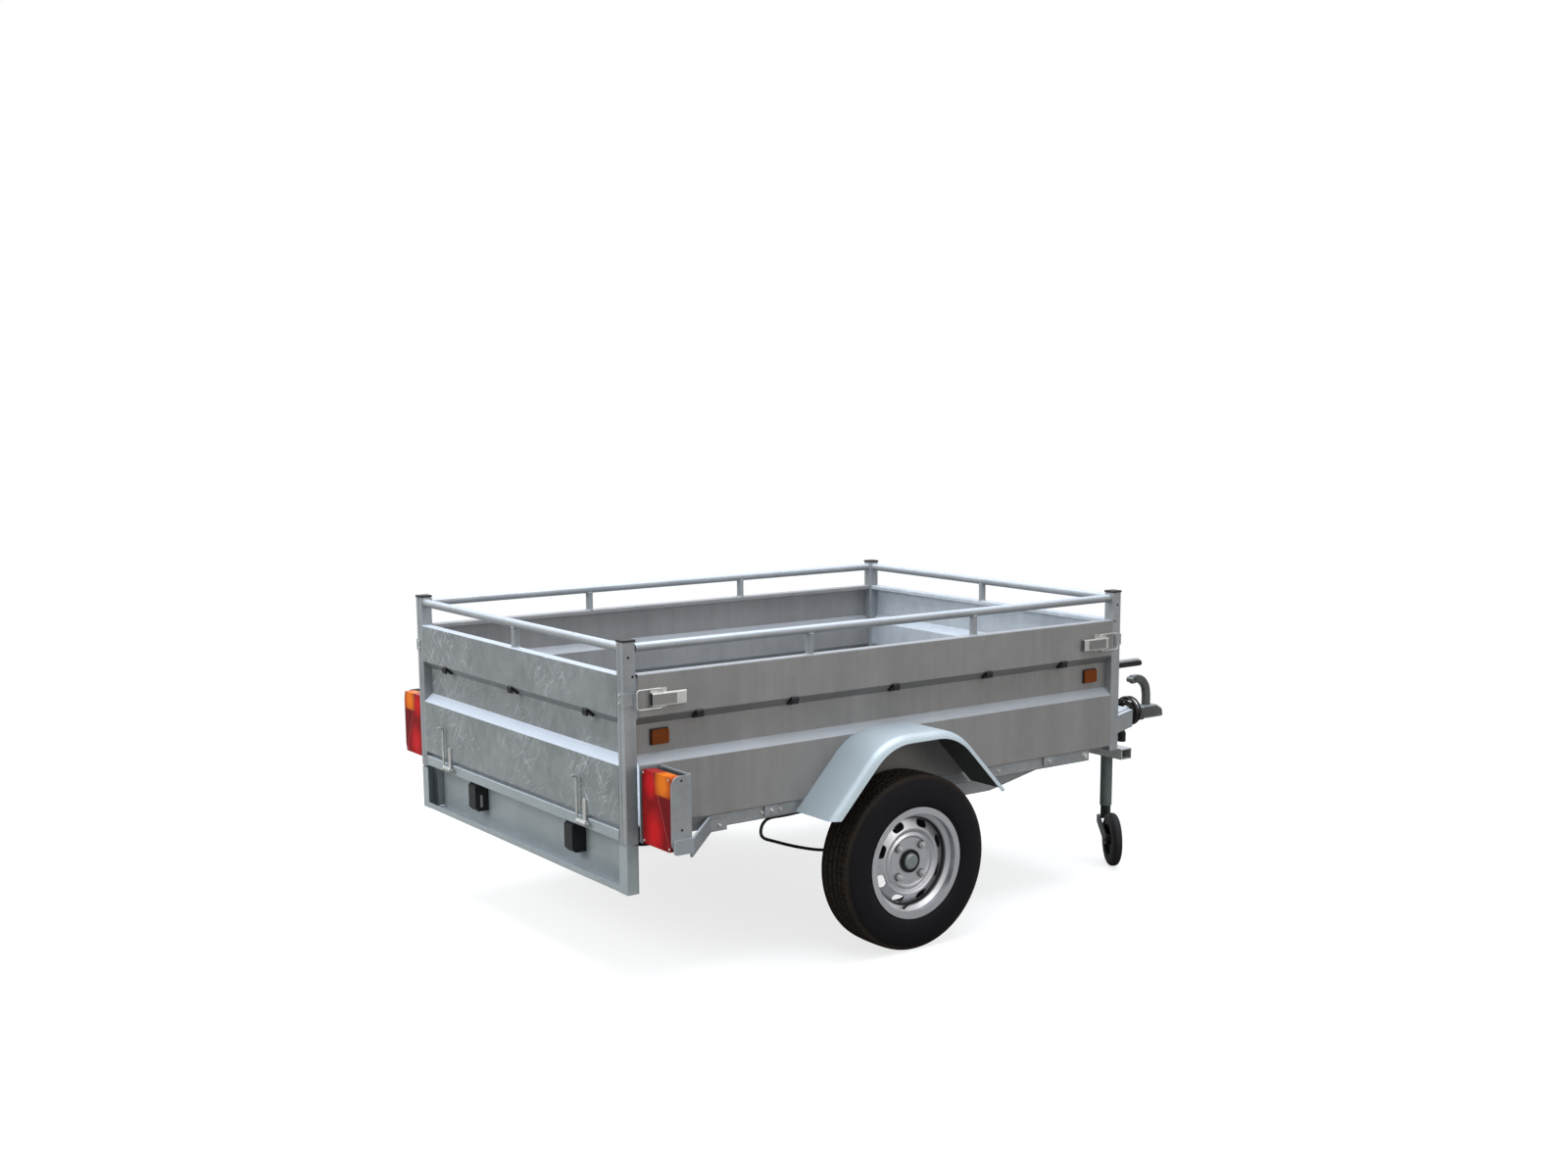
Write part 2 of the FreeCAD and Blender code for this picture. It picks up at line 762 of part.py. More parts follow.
def make_catches(label, face, inward):
    """Plates wrapped round the post's outer edge, each with the lip that the toggle pulls on."""
    catch = body(f"{label}_right")

    def at(out, along, *radius):
        return (f"{HALF} + ({out})", f"{face} {inward} ({along})", *radius)

    slab(catch, "XY_Plane", [
        at("-CatchWrap", "-CatchThick"),
        at("CatchThick", "-CatchThick", "CatchThick"),
        at("CatchThick", "CatchReach"),
        at("CatchThick + CatchLip", "CatchReach + CatchThick"),
        at("CatchThick + CatchLip", "CatchReach + 2 * CatchThick"),
        at("0", "CatchReach + 2 * CatchThick"),
        at("0", "0"),
        at("-CatchWrap", "0"),
    ], "CatchFoot", "CatchTop - CatchFoot")
    both_sides(label, catch)


def make_toggle(piece, face, inward, offset):
    """A pressed lever on its plate, and the wire bail that reaches over the catch."""
    bail = f"{HALF} + CatchThick + CatchLip + MoveGap + BailRod / 2"

    def along(reach):
        return f"{face} {inward} ({offset} + ({reach}))"

    def span(near, far):
        ends = (along(near), along(far))
        start = ends[0] if inward == "+" else ends[1]
        return start, f"({far}) - ({near})"

    plate = span("LeverStart", "LeverStart + LatchPlateLong")
    slab(piece, "XZ_Plane", rectangle(HALF, f"{HALF} + LatchPlate", "BailFoot", "BailTop"), *plate)
    inner, outer = f"{HALF} + LatchPlate", f"{HALF} + LatchPlate + LeverProud"
    slab(piece, "XZ_Plane", [
        (inner, "LeverFoot"),
        (outer, "LeverFoot", "BendRound"),
        (outer, "LeverTop", "BendRound"),
        (inner, "LeverTop"),
        (inner, "LeverTop - SheetThick"),
        (f"{outer} - SheetThick", "LeverTop - SheetThick", "BendRound - SheetThick"),
        (f"{outer} - SheetThick", "LeverFoot + SheetThick", "BendRound - SheetThick"),
        (inner, "LeverFoot + SheetThick"),
    ], *span("LeverStart", "LeverReach"))
    wire(piece, "YZ_Plane", bail, rectangle(along("0"), along("BailReach"), "BailFoot", "BailTop", "BailBend"),
         closed=True, radius="BailRod / 2")


def make_latches():
    latch = body("toggle_latches_right")
    make_toggle(latch, "0", "+", "LatchRearPlace")
    make_toggle(latch, "BodyLength", "-", "LatchFrontPlace")
    both_sides("toggle_latches", latch)


def make_top_rails():
    rail = body("top_rail_right")
    across = f"{HALF} - PostSide / 2"
    rod(rail, "XZ_Plane", (across, "RailHeight"), "RailTube / 2", "PostSide + GateGap",
        "BodyLength - 2 * PostSide - GateGap", inner="RailTube / 2 - RailWall")
    for sign in ("-", "+"):
        rod(rail, "XY_Plane", (across, f"BodyLength / 2 {sign} StanchionPlace"), "StanchionTube / 2",
            "PanelTop", "RailHeight - PanelTop")
    keep("top_rail_right", rail)
    keep("top_rail_left", mirrored("top_rail_left", rail))


def make_frame():
    outer = f"{HALF} - FrameInset"
    inner = f"{outer} - FrameWide"
    rail = body("frame_rail_right")
    slab(rail, "XZ_Plane", [
        (inner, "FrameFoot"),
        (outer, "FrameFoot", "BendRound"),
        (outer, "PanelFoot", "BendRound"),
        (inner, "PanelFoot"),
        (inner, "PanelFoot - FrameWall"),
        (f"{outer} - FrameWall", "PanelFoot - FrameWall"),
        (f"{outer} - FrameWall", "FrameFoot + FrameWall"),
        (inner, "FrameFoot + FrameWall"),
    ], "ApronDepth", "FrameFront - ApronDepth")
    for middle in ("TabPlace", "TabFrontPlace"):
        slab(rail, "XZ_Plane", rectangle(outer, f"{outer} + TabThick", "PanelFoot - TabHigh", "PanelFoot"),
             f"{middle} - TabLong / 2", "TabLong")
    keep("frame_rail_right", rail)
    keep("frame_rail_left", mirrored("frame_rail_left", rail))

    members = body("cross_members")
    top = "PanelFoot + SheetThick"
    for rear in ("ApronDepth", "CrossSecond", "CrossThird", "CrossFront"):
        front = f"{rear} + CrossWide"
        slab(members, "YZ_Plane", [
            (rear, "FrameFoot"),
            (front, "FrameFoot"),
            (front, "FrameFoot + FrameWall"),
            (f"{rear} + FrameWall", "FrameFoot + FrameWall"),
            (f"{rear} + FrameWall", f"{top} - FrameWall"),
            (front, f"{top} - FrameWall"),
            (front, top),
            (rear, top),
        ], f"-({inner})", f"2 * ({inner})")
    keep("cross_members", members)

    floor = body("floor_panel")
    edge = f"{HALF} - BendRound - FitGap"
    corner = f"{INNER} - FitGap"
    front = "BodyLength - BendRound - FitGap"
    shoulder = "BodyLength - PostSide - FitGap"
    slab(floor, "XY_Plane", [
        (f"-({edge})", "FloorRear"),
        (edge, "FloorRear"),
        (edge, shoulder),
        (corner, shoulder),
        (corner, front),
        (f"-({corner})", front),
        (f"-({corner})", shoulder),
        (f"-({edge})", shoulder),
    ], top, "SheetThick")
    keep("floor_panel", floor)


def make_apron():
    """The folded pan below the tailgate, with its hinge strip and its two corner columns."""
    apron = body("rear_apron")
    inner = f"({INNER} - MoveGap)"
    slab(apron, "YZ_Plane", [
        ("0", "ApronTop - HingeStrip"),
        ("0", "ApronTop", "BendRound"),
        ("ApronDepth", "ApronTop", "BendRound"),
        ("ApronDepth", "ApronFoot", "BendRound"),
        ("0", "ApronFoot", "BendRound"),
        ("0", "ApronFoot + ApronLip"),
        ("SheetThick", "ApronFoot + ApronLip"),
        ("SheetThick", "ApronFoot + SheetThick"),
        ("ApronDepth - SheetThick", "ApronFoot + SheetThick"),
        ("ApronDepth - SheetThick", "ApronTop - SheetThick"),
        ("SheetThick", "ApronTop - SheetThick"),
        ("SheetThick", "ApronTop - HingeStrip"),
    ], f"-{inner}", f"2 * {inner}")
    top = "TailPostFoot - MoveGap"
    for side in ("", "-"):
        def at(out, along, *radius):
            return (f"{side}({out})", along, *radius)

        slab(apron, "XY_Plane", [
            at(inner, "0"),
            at(HALF, "0", "BendRound"),
            at(HALF, "PostSide", "BendRound"),
            at(inner, "PostSide"),
            at(inner, "PostSide - SheetThick"),
            at(f"{HALF} - SheetThick", "PostSide - SheetThick"),
            at(f"{HALF} - SheetThick", "SheetThick"),
            at(inner, "SheetThick"),
        ], "ApronFoot", f"{top} - ApronFoot")
        slab(apron, "XY_Plane", [
            at(inner, "0"),
            at(HALF, "0", "BendRound"),
            at(HALF, "PostSide", "BendRound"),
            at(inner, "PostSide"),
        ], "ApronFoot", "SheetThick")
        slab(apron, "XY_Plane", [
            at(inner, "ApronDepth - SheetThick"),
            at(f"{HALF} - FrameInset", "ApronDepth - SheetThick"),
            at(f"{HALF} - FrameInset", "ApronDepth"),
            at(inner, "ApronDepth"),
        ], top, f"ApronTop - ({top})")
    keep("rear_apron", apron)


def make_plate_lamps():
    lamps = body("plate_lamps")
    front = "ApronDepth - SheetThick"
    rear = f"{front} - PlateLampProud"
    for sign in ("-", ""):
        slab(lamps, "YZ_Plane", [
            (front, "PlateLampFoot"),
            (front, "PlateLampTop"),
            (f"{rear} + PlateLampBevel", "PlateLampTop"),
            (rear, "PlateLampTop - PlateLampBevel"),
            (rear, "PlateLampFoot + PlateLampBevel"),
            (f"{rear} + PlateLampBevel", "PlateLampFoot"),
        ], f"{sign}PlateLampPlace - PlateLampWide / 2", "PlateLampWide")
    keep("plate_lamps", lamps)


def make_hinges():
    """Three-knuckle hinges: the outer knuckles on the apron, the middle one on the gate's leaf."""
    axis = ("-HingeBack", "HingeHeight")
    bored = "PinRod / 2 + FitGap"
    fixed = body("hinge_brackets")
    leaves = body("tailgate_hinges")
    pins = body("hinge_pins")
    for side in ("-", ""):
        centre = f"{side}HingePlace"
        for start in (f"{centre} - 1.5 * KnuckleWide - KnuckleGap", f"{centre} + KnuckleWide / 2 + KnuckleGap"):
            rod(fixed, "YZ_Plane", axis, "KnuckleRound", start, "KnuckleWide")
            slab(fixed, "YZ_Plane", rectangle(
                "-HingeBack", "0", "HingeHeight - KnuckleRound", "HingeHeight"), start, "KnuckleWide")
            bore(fixed, "YZ_Plane", axis, bored, f"{start} - Overrun", "KnuckleWide + 2 * Overrun")
        middle = f"{centre} - KnuckleWide / 2"
        rod(leaves, "YZ_Plane", axis, "KnuckleRound", middle, "KnuckleWide")
        slab(leaves, "YZ_Plane", [
            ("-HingeBack", "HingeHeight"),
            ("-HingeLeafThick", "HingeHeight"),
            ("-HingeLeafThick", "GateFoot + SheetThick"),
            ("0", "GateFoot + BendRound"),
            ("0", "HingeLeafTop"),
            ("-2 * HingeLeafThick", "HingeLeafTop"),
            ("-2 * HingeLeafThick", "HingeHeight + KnuckleRound"),
            ("-HingeBack", "HingeHeight + KnuckleRound"),
        ], middle, "KnuckleWide")
        bore(leaves, "YZ_Plane", axis, bored, f"{middle} - Overrun", "KnuckleWide + 2 * Overrun")
        reach = "(1.5 * KnuckleWide + KnuckleGap + PinRod)"
        rod(pins, "YZ_Plane", axis, "PinRod / 2", f"{centre} - {reach}", f"2 * {reach}")
        handle = f"{centre} - {reach} + PinRod / 2"
        top = "PinHandleTop - PinRod / 2"
        wire(pins, "YZ_Plane", handle, [
            ("-HingeBack", "HingeHeight"),
            ("-HingeBack", top, "PinHandleBend"),
            ("-HingeBack - PinHandleKick - PinRod / 2", top),
        ], radius="PinRod / 2")
    keep("hinge_brackets", fixed)
    keep("tailgate_hinges", leaves)
    keep("hinge_pins", pins)


def hook_corners(face, inward):
    return [(f"{face} {inward} ({depth} * RecessDepth)", f"RecessTop + ({up}) * (UpperBandFoot - RecessTop)")
            for depth, up in HOOK_SHARES]


def make_hooks():
    side = body("tarp_hooks_right")
    for place_along in ("-HookOuter", "-HookInner", "0", "HookInner", "HookOuter"):
        slab(side, "XZ_Plane", hook_corners(HALF, "-"),
             f"BodyLength / 2 - HookShift + {place_along} - HookWide / 2", "HookWide")
    both_sides("tarp_hooks_sides", side)
    for label, face, inward in (("tarp_hooks_tailgate", "0", "+"), ("tarp_hooks_front", "BodyLength", "-")):
        hooks = body(label)
        for place_across in ("-HookGate", "0", "HookGate"):
            slab(hooks, "YZ_Plane", hook_corners(face, inward), f"{place_across} - HookWide / 2", "HookWide")
        keep(label, hooks)


def make_side_markers():
    marker = body("side_markers_right")
    for middle in ("MarkerPlace", "BodyLength - MarkerFrontPlace"):
        slab(marker, "YZ_Plane", rectangle(
            f"{middle} - MarkerWide / 2", f"{middle} + MarkerWide / 2", "MarkerFoot", "MarkerTop",
            "MarkerRound"), f"{HALF} - RecessDepth", "MarkerThick")
    both_sides("side_markers", marker)


def make_tail_lamps():
    lamp = body("tail_lamp_right")
    slab(lamp, "XZ_Plane", rectangle("LampInner", "LampOuter - FitGap", "LampFoot", "LampTop", "LampRound"),
         "LampBack", "LampLens")
    slab(lamp, "XZ_Plane", rectangle(
        "LampInner + LampRim", "LampOuter - FitGap - LampRim", "LampFoot + LampRim", "LampTop - LampRim",
        "LampRound"), "LampBack + LampLens", "GuardDepth - GuardWall - LampLens")
    keep("tail_lamp_right", lamp)
    keep("tail_lamp_left", mirrored("tail_lamp_left", lamp))

    guard = body("lamp_bracket_right")
    outer = "LampOuter + GuardWall"
    front = "LampBack + GuardDepth"
    slab(guard, "XY_Plane", [
        ("GuardInner", "LampBack"),
        ("GuardInner + GuardWall", "LampBack"),
        ("GuardInner + GuardWall", f"{front} - GuardWall"),
        ("LampOuter", f"{front} - GuardWall"),
        ("LampOuter", "LampBack"),
        (outer, "LampBack"),
        (outer, front, "GuardWall"),
        ("GuardInner", front, "GuardWall"),
    ], "GuardFoot", "GuardTop - GuardFoot")
    for edge, inward in (("GuardTop", "-"), ("GuardFoot", "+")):
        outward = "+" if inward == "-" else "-"
        notch(guard, "YZ_Plane", [
            ("LampBack - Overrun", f"{edge} {inward} (GuardRound + Overrun)"),
            ("LampBack", f"{edge} {inward} (GuardRound + Overrun)"),
            ("LampBack", edge, "GuardRound"),
            ("LampBack + GuardRound + Overrun", edge),
            ("LampBack + GuardRound + Overrun", f"{edge} {outward} Overrun"),
            ("LampBack - Overrun", f"{edge} {outward} Overrun"),
        ], "LampOuter - Overrun", "GuardWall + 2 * Overrun")
    for height in ("GuardHoleHigh", "GuardHoleLow"):
        bore(guard, "YZ_Plane", ("LampBack + GuardHolePlace", height), "GuardHole / 2", "LampOuter - Overrun",
             "GuardWall + 2 * Overrun")
    inner = f"{HALF} - FrameInset"
    slab(guard, "XZ_Plane", rectangle(inner, "GuardInner + GuardWall", "GuardFoot", "GuardArmTop"),
         f"{front} - GuardWall", "GuardWall")
    slab(guard, "YZ_Plane", rectangle(
        f"{front} - GuardWall", f"{front} + GuardFootLong", "GuardFoot", "GuardArmTop"), inner, "GuardWall")
    slab(guard, "XY_Plane", [
        (outer, f"{front} - GuardWall"),
        (outer, front),
        (f"{inner} + GuardWall", "GussetReach"),
        (inner, "GussetReach"),
        (inner, "GussetReach - 2 * GuardWall"),
        (f"{outer} - 3 * GuardWall", f"{front} - GuardWall"),
    ], "GussetFoot", "GuardArmTop - GussetFoot")
    slab(guard, "YZ_Plane", rectangle(
        "GussetReach - 2 * GuardWall", "GussetReach + BraceFootLong", "GussetFoot", "GussetFoot + BraceFootHigh"),
        inner, "GuardWall")
    keep("lamp_bracket_right", guard)
    keep("lamp_bracket_left", mirrored("lamp_bracket_left", guard))

    lens = body("marker_lens_right")
    slab(lens, "YZ_Plane", rectangle(
        "MarkerLampRear", front, "MarkerLampFoot", "MarkerLampTop", "MarkerLampRound"),
        outer, "MarkerLampProud")
    both_sides("clearance_lenses", lens)


def tyre_corner(sign, shares):
    across, up = shares
    return (f"{sign}{across} * TyreWide / 2", f"RimSeat + {up} * (TyreRadius - RimSeat)")


def make_wheels():
    centre = (f"{HALF} + WheelOut", "WheelPlace", "TyreRadius")
    tyre = place(body("tyre_right"), *centre)
    spun(tyre,
         [tyre_corner("", shares) for shares in TYRE_SKIN_SHARES]
         + [tyre_corner("-", shares) for shares in reversed(TYRE_SKIN_SHARES)]
         + [tyre_corner("-", shares) for shares in reversed(TYRE_CORD_SHARES)]
         + [tyre_corner("", shares) for shares in TYRE_CORD_SHARES])

    rim = place(body("rim_right"), *centre)
    half, seat, wall = "RimWide / 2", "RimSeat", "RimWall"
    shoulder, floor = "RimWellShoulder / 2", "RimWellFloor / 2"
    outside = [(half, "RimFlange"), (f"{half} - {wall}", "RimFlange"), (f"{half} - {wall}", seat),
               (shoulder, seat), (floor, "RimWell")]
    inside = [(floor, f"RimWell - {wall}"), (shoulder, f"{seat} - {wall}"), (half, f"{seat} - {wall}")]
    spun(rim,
         outside
         + [(f"-({across})", up) for across, up in reversed(outside)]
         + [(f"-({across})", up) for across, up in reversed(inside)]
         + inside)
    face = [("DiscFace", "HubNose + FitGap"), ("DiscFace", "DiscFlat"),
            ("DiscFace + DiscRidgeProud", "DiscRidge", "DiscWall"), ("DiscFace", "DiscDish", "DiscWall"),
            ("DiscCrown", "DiscCrownRound", "2 * DiscWall"), ("DiscEdge", f"RimWell - {wall}")]
    back = [(f"{corner[0]} - DiscWall", *corner[1:]) for corner in face]
    spun(rim, face[:-1] + [("DiscEdge", f"RimWell - {wall} / 2"), ("DiscEdge - DiscWall", f"RimWell - {wall} / 2")]
         + list(reversed(back[:-1])))
    turn = "180 / SlotCount"
    slot = notch(rim, "YZ_Plane", [
        (f"(SlotCircle + {up} * SlotWide / 2) * sin({turn}) + {across} * SlotLong / 2 * cos({turn})",
         f"(SlotCircle + {up} * SlotWide / 2) * cos({turn}) - {across} * SlotLong / 2 * sin({turn})",
         "SlotWide / 2 - FitGap")
        for across, up in ((-1, -1), (1, -1), (1, 1), (-1, 1))], "0", "RimWide")
    around(rim, slot, "SlotCount")
    spread = "180 / BoltCount"
    bolt_spot = (f"BoltCircle * sin({spread})", f"BoltCircle * cos({spread})")
    hole = bore(rim, "YZ_Plane", bolt_spot, "BoltRod / 2 + FitGap", "0", "RimWide")
    around(rim, hole, "BoltCount")

    hub = place(body("hub_right"), *centre)
    seat_face = "DiscFace - DiscWall"
    spun(hub, [
        ("-HubInner", "SpindleRod / 2 + FitGap"),
        ("-HubInner", "HubBarrel"),
        (f"{seat_face} - HubFlangeThick", "HubBarrel"),
        (f"{seat_face} - HubFlangeThick", "HubFlange"),
        (seat_face, "HubFlange"),
        (seat_face, "HubNose"),
        ("HubNoseReach", "HubNose"),
        ("HubNoseReach", "HubCap"),
        ("HubCapReach", "HubCap", "HubCapRound"),
        ("HubCapReach", "0"),
        ("SpindleReach + FitGap", "0"),
        ("SpindleReach + FitGap", "SpindleRod / 2 + FitGap"),
    ])
    shank = rod(hub, "YZ_Plane", bolt_spot, "BoltRod / 2", seat_face, "DiscWall + BoltHeadThick")
    around(hub, shank, "BoltCount")
    head = rod(hub, "YZ_Plane", bolt_spot, "BoltHead / 2", "DiscFace", "BoltHeadThick")
    around(hub, head, "BoltCount")
    for label, piece in (("tyre", tyre), ("rim", rim), ("hub", hub)):
        keep(f"{label}_right", piece)
        keep(f"{label}_left", mirrored(f"{label}_left", piece))


def make_axle():
    """A rubber-sprung axle: a square tube under the frame and a trailing arm at each end."""
    beam_along, beam_up = "WheelPlace + AxleForward", "TyreRadius + AxleRise"
    half = "AxleTube / 2"
    beam = body("axle_beam")
    slab(beam, "YZ_Plane", rectangle(
        f"{beam_along} - {half}", f"{beam_along} + {half}", f"{beam_up} - {half}", f"{beam_up} + {half}",
        "AxleWall"), "-AxleEnd", "2 * AxleEnd")
    notch(beam, "YZ_Plane", rectangle(
        f"{beam_along} - {half} + AxleWall", f"{beam_along} + {half} - AxleWall",
        f"{beam_up} - {half} + AxleWall", f"{beam_up} + {half} - AxleWall"),
        "-AxleEnd - Overrun", "2 * (AxleEnd + Overrun)")
    inner = f"{HALF} - FrameInset - FrameWide"
    for side in ("", "-"):
        start = f"-({inner} + AxlePlateWall)" if side else inner
        slab(beam, "YZ_Plane", [
            (f"{beam_along} - {half} + AxleWall", f"{beam_up} + {half} - AxleWall / 2"),
            (f"{beam_along} + {half} - AxleWall", f"{beam_up} + {half} - AxleWall / 2"),
            (f"{beam_along} + AxlePlateLong / 2 + {half}", "FrameFoot"),
            (f"{beam_along} - AxlePlateLong / 2 - {half}", "FrameFoot"),
        ], start, "AxlePlateWall")
    keep("axle_beam", beam)

    arm = body("axle_arm_right")
    wide = "ArmOuter - AxleEnd"
    rod(arm, "YZ_Plane", (beam_along, beam_up), "ArmBeamRound", "AxleEnd", wide)
    rod(arm, "YZ_Plane", ("WheelPlace", "TyreRadius"), "ArmHubRound", "AxleEnd", wide)
    slope = "atan(AxleRise / AxleForward)"
    slab(arm, "YZ_Plane", [
        (f"{beam_along} + ArmBeamRound * sin({slope})", f"{beam_up} - ArmBeamRound * cos({slope})"),
        (f"{beam_along} - ArmBeamRound * sin({slope})", f"{beam_up} + ArmBeamRound * cos({slope})"),
        (f"WheelPlace - ArmHubRound * sin({slope})", f"TyreRadius + ArmHubRound * cos({slope})"),
        (f"WheelPlace + ArmHubRound * sin({slope})", f"TyreRadius - ArmHubRound * cos({slope})"),
    ], "AxleEnd", wide)
    rod(arm, "YZ_Plane", ("WheelPlace", "TyreRadius"), "SpindleRod / 2", "ArmOuter",
        f"{HALF} + WheelOut + SpindleReach - ArmOuter")
    keep("axle_arm_right", arm)
    keep("axle_arm_left", mirrored("axle_arm_left", arm))


def arch_corners(inset, foot, radius):
    """The mudguard's outline from the side, inset by the same amount all along."""
    half = "(GuardArchMiddle - GuardArchFoot)"
    flat = "(GuardArchMiddle - GuardArchTurn)"
    slope = "atan((GuardArchTop - PanelFoot) / (GuardArchTurn - GuardArchFoot))"
    top = f"GuardArchTop - ({inset})"
    turn = f"({flat} - ({inset}) * tan({slope} / 2))"
    low = f"({half} - ({inset}) / sin({slope}) + (PanelFoot - ({foot})) / tan({slope}))"
    return [
        (f"GuardArchMiddle - {low}", foot),
        (f"GuardArchMiddle - {turn}", top, radius),
        (f"GuardArchMiddle + {turn}", top, radius),
        (f"GuardArchMiddle + {low}", foot),
    ]


def make_mudguards():
    guard = body("mudguard_right")
    arch = slab(guard, "YZ_Plane", arch_corners("0", "GuardArchEnd", "GuardArchRound"), HALF, "GuardArchWide")
    doc.recompute()
    shape = arch.Shape
    outer = value(f"{HALF} + GuardArchWide")
    foot = value("GuardArchEnd")
    edges = [f"Edge{number}" for number, edge in enumerate(shape.Edges, start=1)
             if all(abs(vertex.X - outer) < value("FitGap") for vertex in edge.Vertexes)
             and edge.BoundBox.ZMax > foot + value("FitGap")]
    crown = guard.newObject("PartDesign::Fillet", "Crown")
    crown.Base = (arch, edges)
    crown.setExpression("Radius", cells("GuardArchCrown"))
    doc.recompute()
    shape = crown.Shape
    inner = value(HALF)
    open_faces = [f"Face{number}" for number, face in enumerate(shape.Faces, start=1)
                  if face.BoundBox.ZMax < foot + value("FitGap") or face.BoundBox.XMax < inner + value("FitGap")]
    shell = guard.newObject("PartDesign::Thickness", "Shell")
    shell.Base = (crown, open_faces)
    shell.Mode = 0
    shell.Join = 0
    shell.Reversed = True
    shell.setExpression("Value", cells("GuardArchWall"))
    notch(guard, "YZ_Plane", arch_corners("GuardArchLip", "GuardArchEnd - Overrun", "GuardArchRound - GuardArchLip"),
          f"{HALF} + GuardArchWide - GuardArchCrown / 2", "GuardArchCrown")
    keep("mudguard_right", guard)
    keep("mudguard_left", mirrored("mudguard_left", guard))


DRAWBAR_TURN = "atan((DrawbarRootOut - DrawbarTipOut) / (DrawbarTipPlace - DrawbarBendPlace))"


def make_drawbar():
    """Two channel arms that run forward under the floor and then in to the coupling."""
    drawbar = body("drawbar")
    half = "DrawbarWide / 2"
    for side in ("", "-"):
        def edge(out):
            return [(f"{side}(DrawbarRootOut + ({out}))", "DrawbarRootPlace"),
                    (f"{side}(DrawbarRootOut + ({out}))", f"DrawbarBendPlace + ({out}) * tan({DRAWBAR_TURN} / 2)"),
                    (f"{side}(DrawbarTipOut + ({out}) / cos({DRAWBAR_TURN}))", "DrawbarTipPlace")]

        outside = edge(half)
        slab(drawbar, "XY_Plane", outside + edge(f"{half} - DrawbarWall")[::-1], "DrawbarFoot",
             "FrameFoot - DrawbarFoot")
        for foot in ("DrawbarFoot", "FrameFoot - DrawbarWall"):
            slab(drawbar, "XY_Plane", outside + edge(f"-{half}")[::-1], foot, "DrawbarWall")
    rear_out = f"DrawbarTipOut + (DrawbarTipPlace - GussetPlateRear) * tan({DRAWBAR_TURN})"
    for foot in ("DrawbarFoot - GussetPlateThick", "FrameFoot"):
        slab(drawbar, "XY_Plane", [
            (f"-({rear_out})", "GussetPlateRear"),
            (rear_out, "GussetPlateRear"),
            ("DrawbarTipOut", "DrawbarTipPlace"),
            ("-DrawbarTipOut", "DrawbarTipPlace"),
        ], foot, "GussetPlateThick")
    keep("drawbar", drawbar)


def make_coupling():
    """A pressed ball coupling: a hooded head over a flange, on a tube bolted between the arms."""
    head = body("coupling_head")
    nose = "CouplingNose"
    hood = slab(head, "YZ_Plane", [
        ("CouplingHeadRear", "CouplingFoot"),
        (f"{nose} - CouplingBrow / 2", "CouplingFoot"),
        (f"{nose} - CouplingBrow", "CouplingBrowTop", "CouplingBrowRound"),
        (f"{nose} - CouplingCrown", "CouplingTop", "CouplingCrownRound"),
        ("CouplingHeadRear", "CouplingTop", "CouplingRearRound"),
    ], "-CouplingBody / 2", "CouplingBody")
    doc.recompute()
    shape = hood.Shape
    side, foot, near = value("CouplingBody / 2"), value("CouplingFoot"), value("FitGap")
    edges = [f"Edge{number}" for number, edge in enumerate(shape.Edges, start=1)
             if all(abs(abs(vertex.X) - side) < near for vertex in edge.Vertexes)
             and edge.BoundBox.XLength < near and edge.BoundBox.ZMax > foot + near]
    rounded = head.newObject("PartDesign::Fillet", "Rounded")
    rounded.Base = (hood, edges)
    rounded.setExpression("Radius", cells("CouplingRound"))
    half = "CouplingWide / 2"
    slab(head, "XY_Plane", [
        (f"-{half}", "CouplingHeadRear", "CouplingNoseRound / 2"),
        (half, "CouplingHeadRear", "CouplingNoseRound / 2"),
        (half, nose, "CouplingNoseRound"),
        (f"-{half}", nose, "CouplingNoseRound"),
    ], "CouplingFoot", "CouplingFlange")
    shank, wall = "CouplingShankWide / 2", "CouplingShankWall"
    long = "CouplingHeadRear - CouplingShankRear"
    slab(head, "XZ_Plane", rectangle(f"-{shank}", shank, "DrawbarFoot", "CouplingShankTop", "CouplingShankRound"),
         "CouplingShankRear", f"{long} + CouplingRearRound")
    notch(head, "XZ_Plane", rectangle(
        f"-{shank} + {wall}", f"{shank} - {wall}", f"DrawbarFoot + {wall}", f"CouplingShankTop - {wall}",
        f"CouplingShankRound - {wall}"), "CouplingShankRear - Overrun", f"{long} + Overrun")
    bore(head, "XY_Plane", ("0", "BallPlace"), "BallSize / 2 + FitGap", "CouplingFoot - Overrun",
         "BallHeight - CouplingFoot + Overrun")
    socket = head.newObject("PartDesign::SubtractiveSphere", "Socket")
    socket.setExpression("Radius", cells("BallSize / 2 + FitGap"))
    socket.setExpression("Placement.Base.y", cells("BallPlace"))
    socket.setExpression("Placement.Base.z", cells("BallHeight"))
    keep("coupling_head", head)


def lever_spot(shares, *radius):
    back, up = shares
    return (f"CouplingNose - {back} * (CouplingNose - CouplingHeadRear)",
            f"CouplingFoot + {up} * (CouplingTop - CouplingFoot)", *radius)


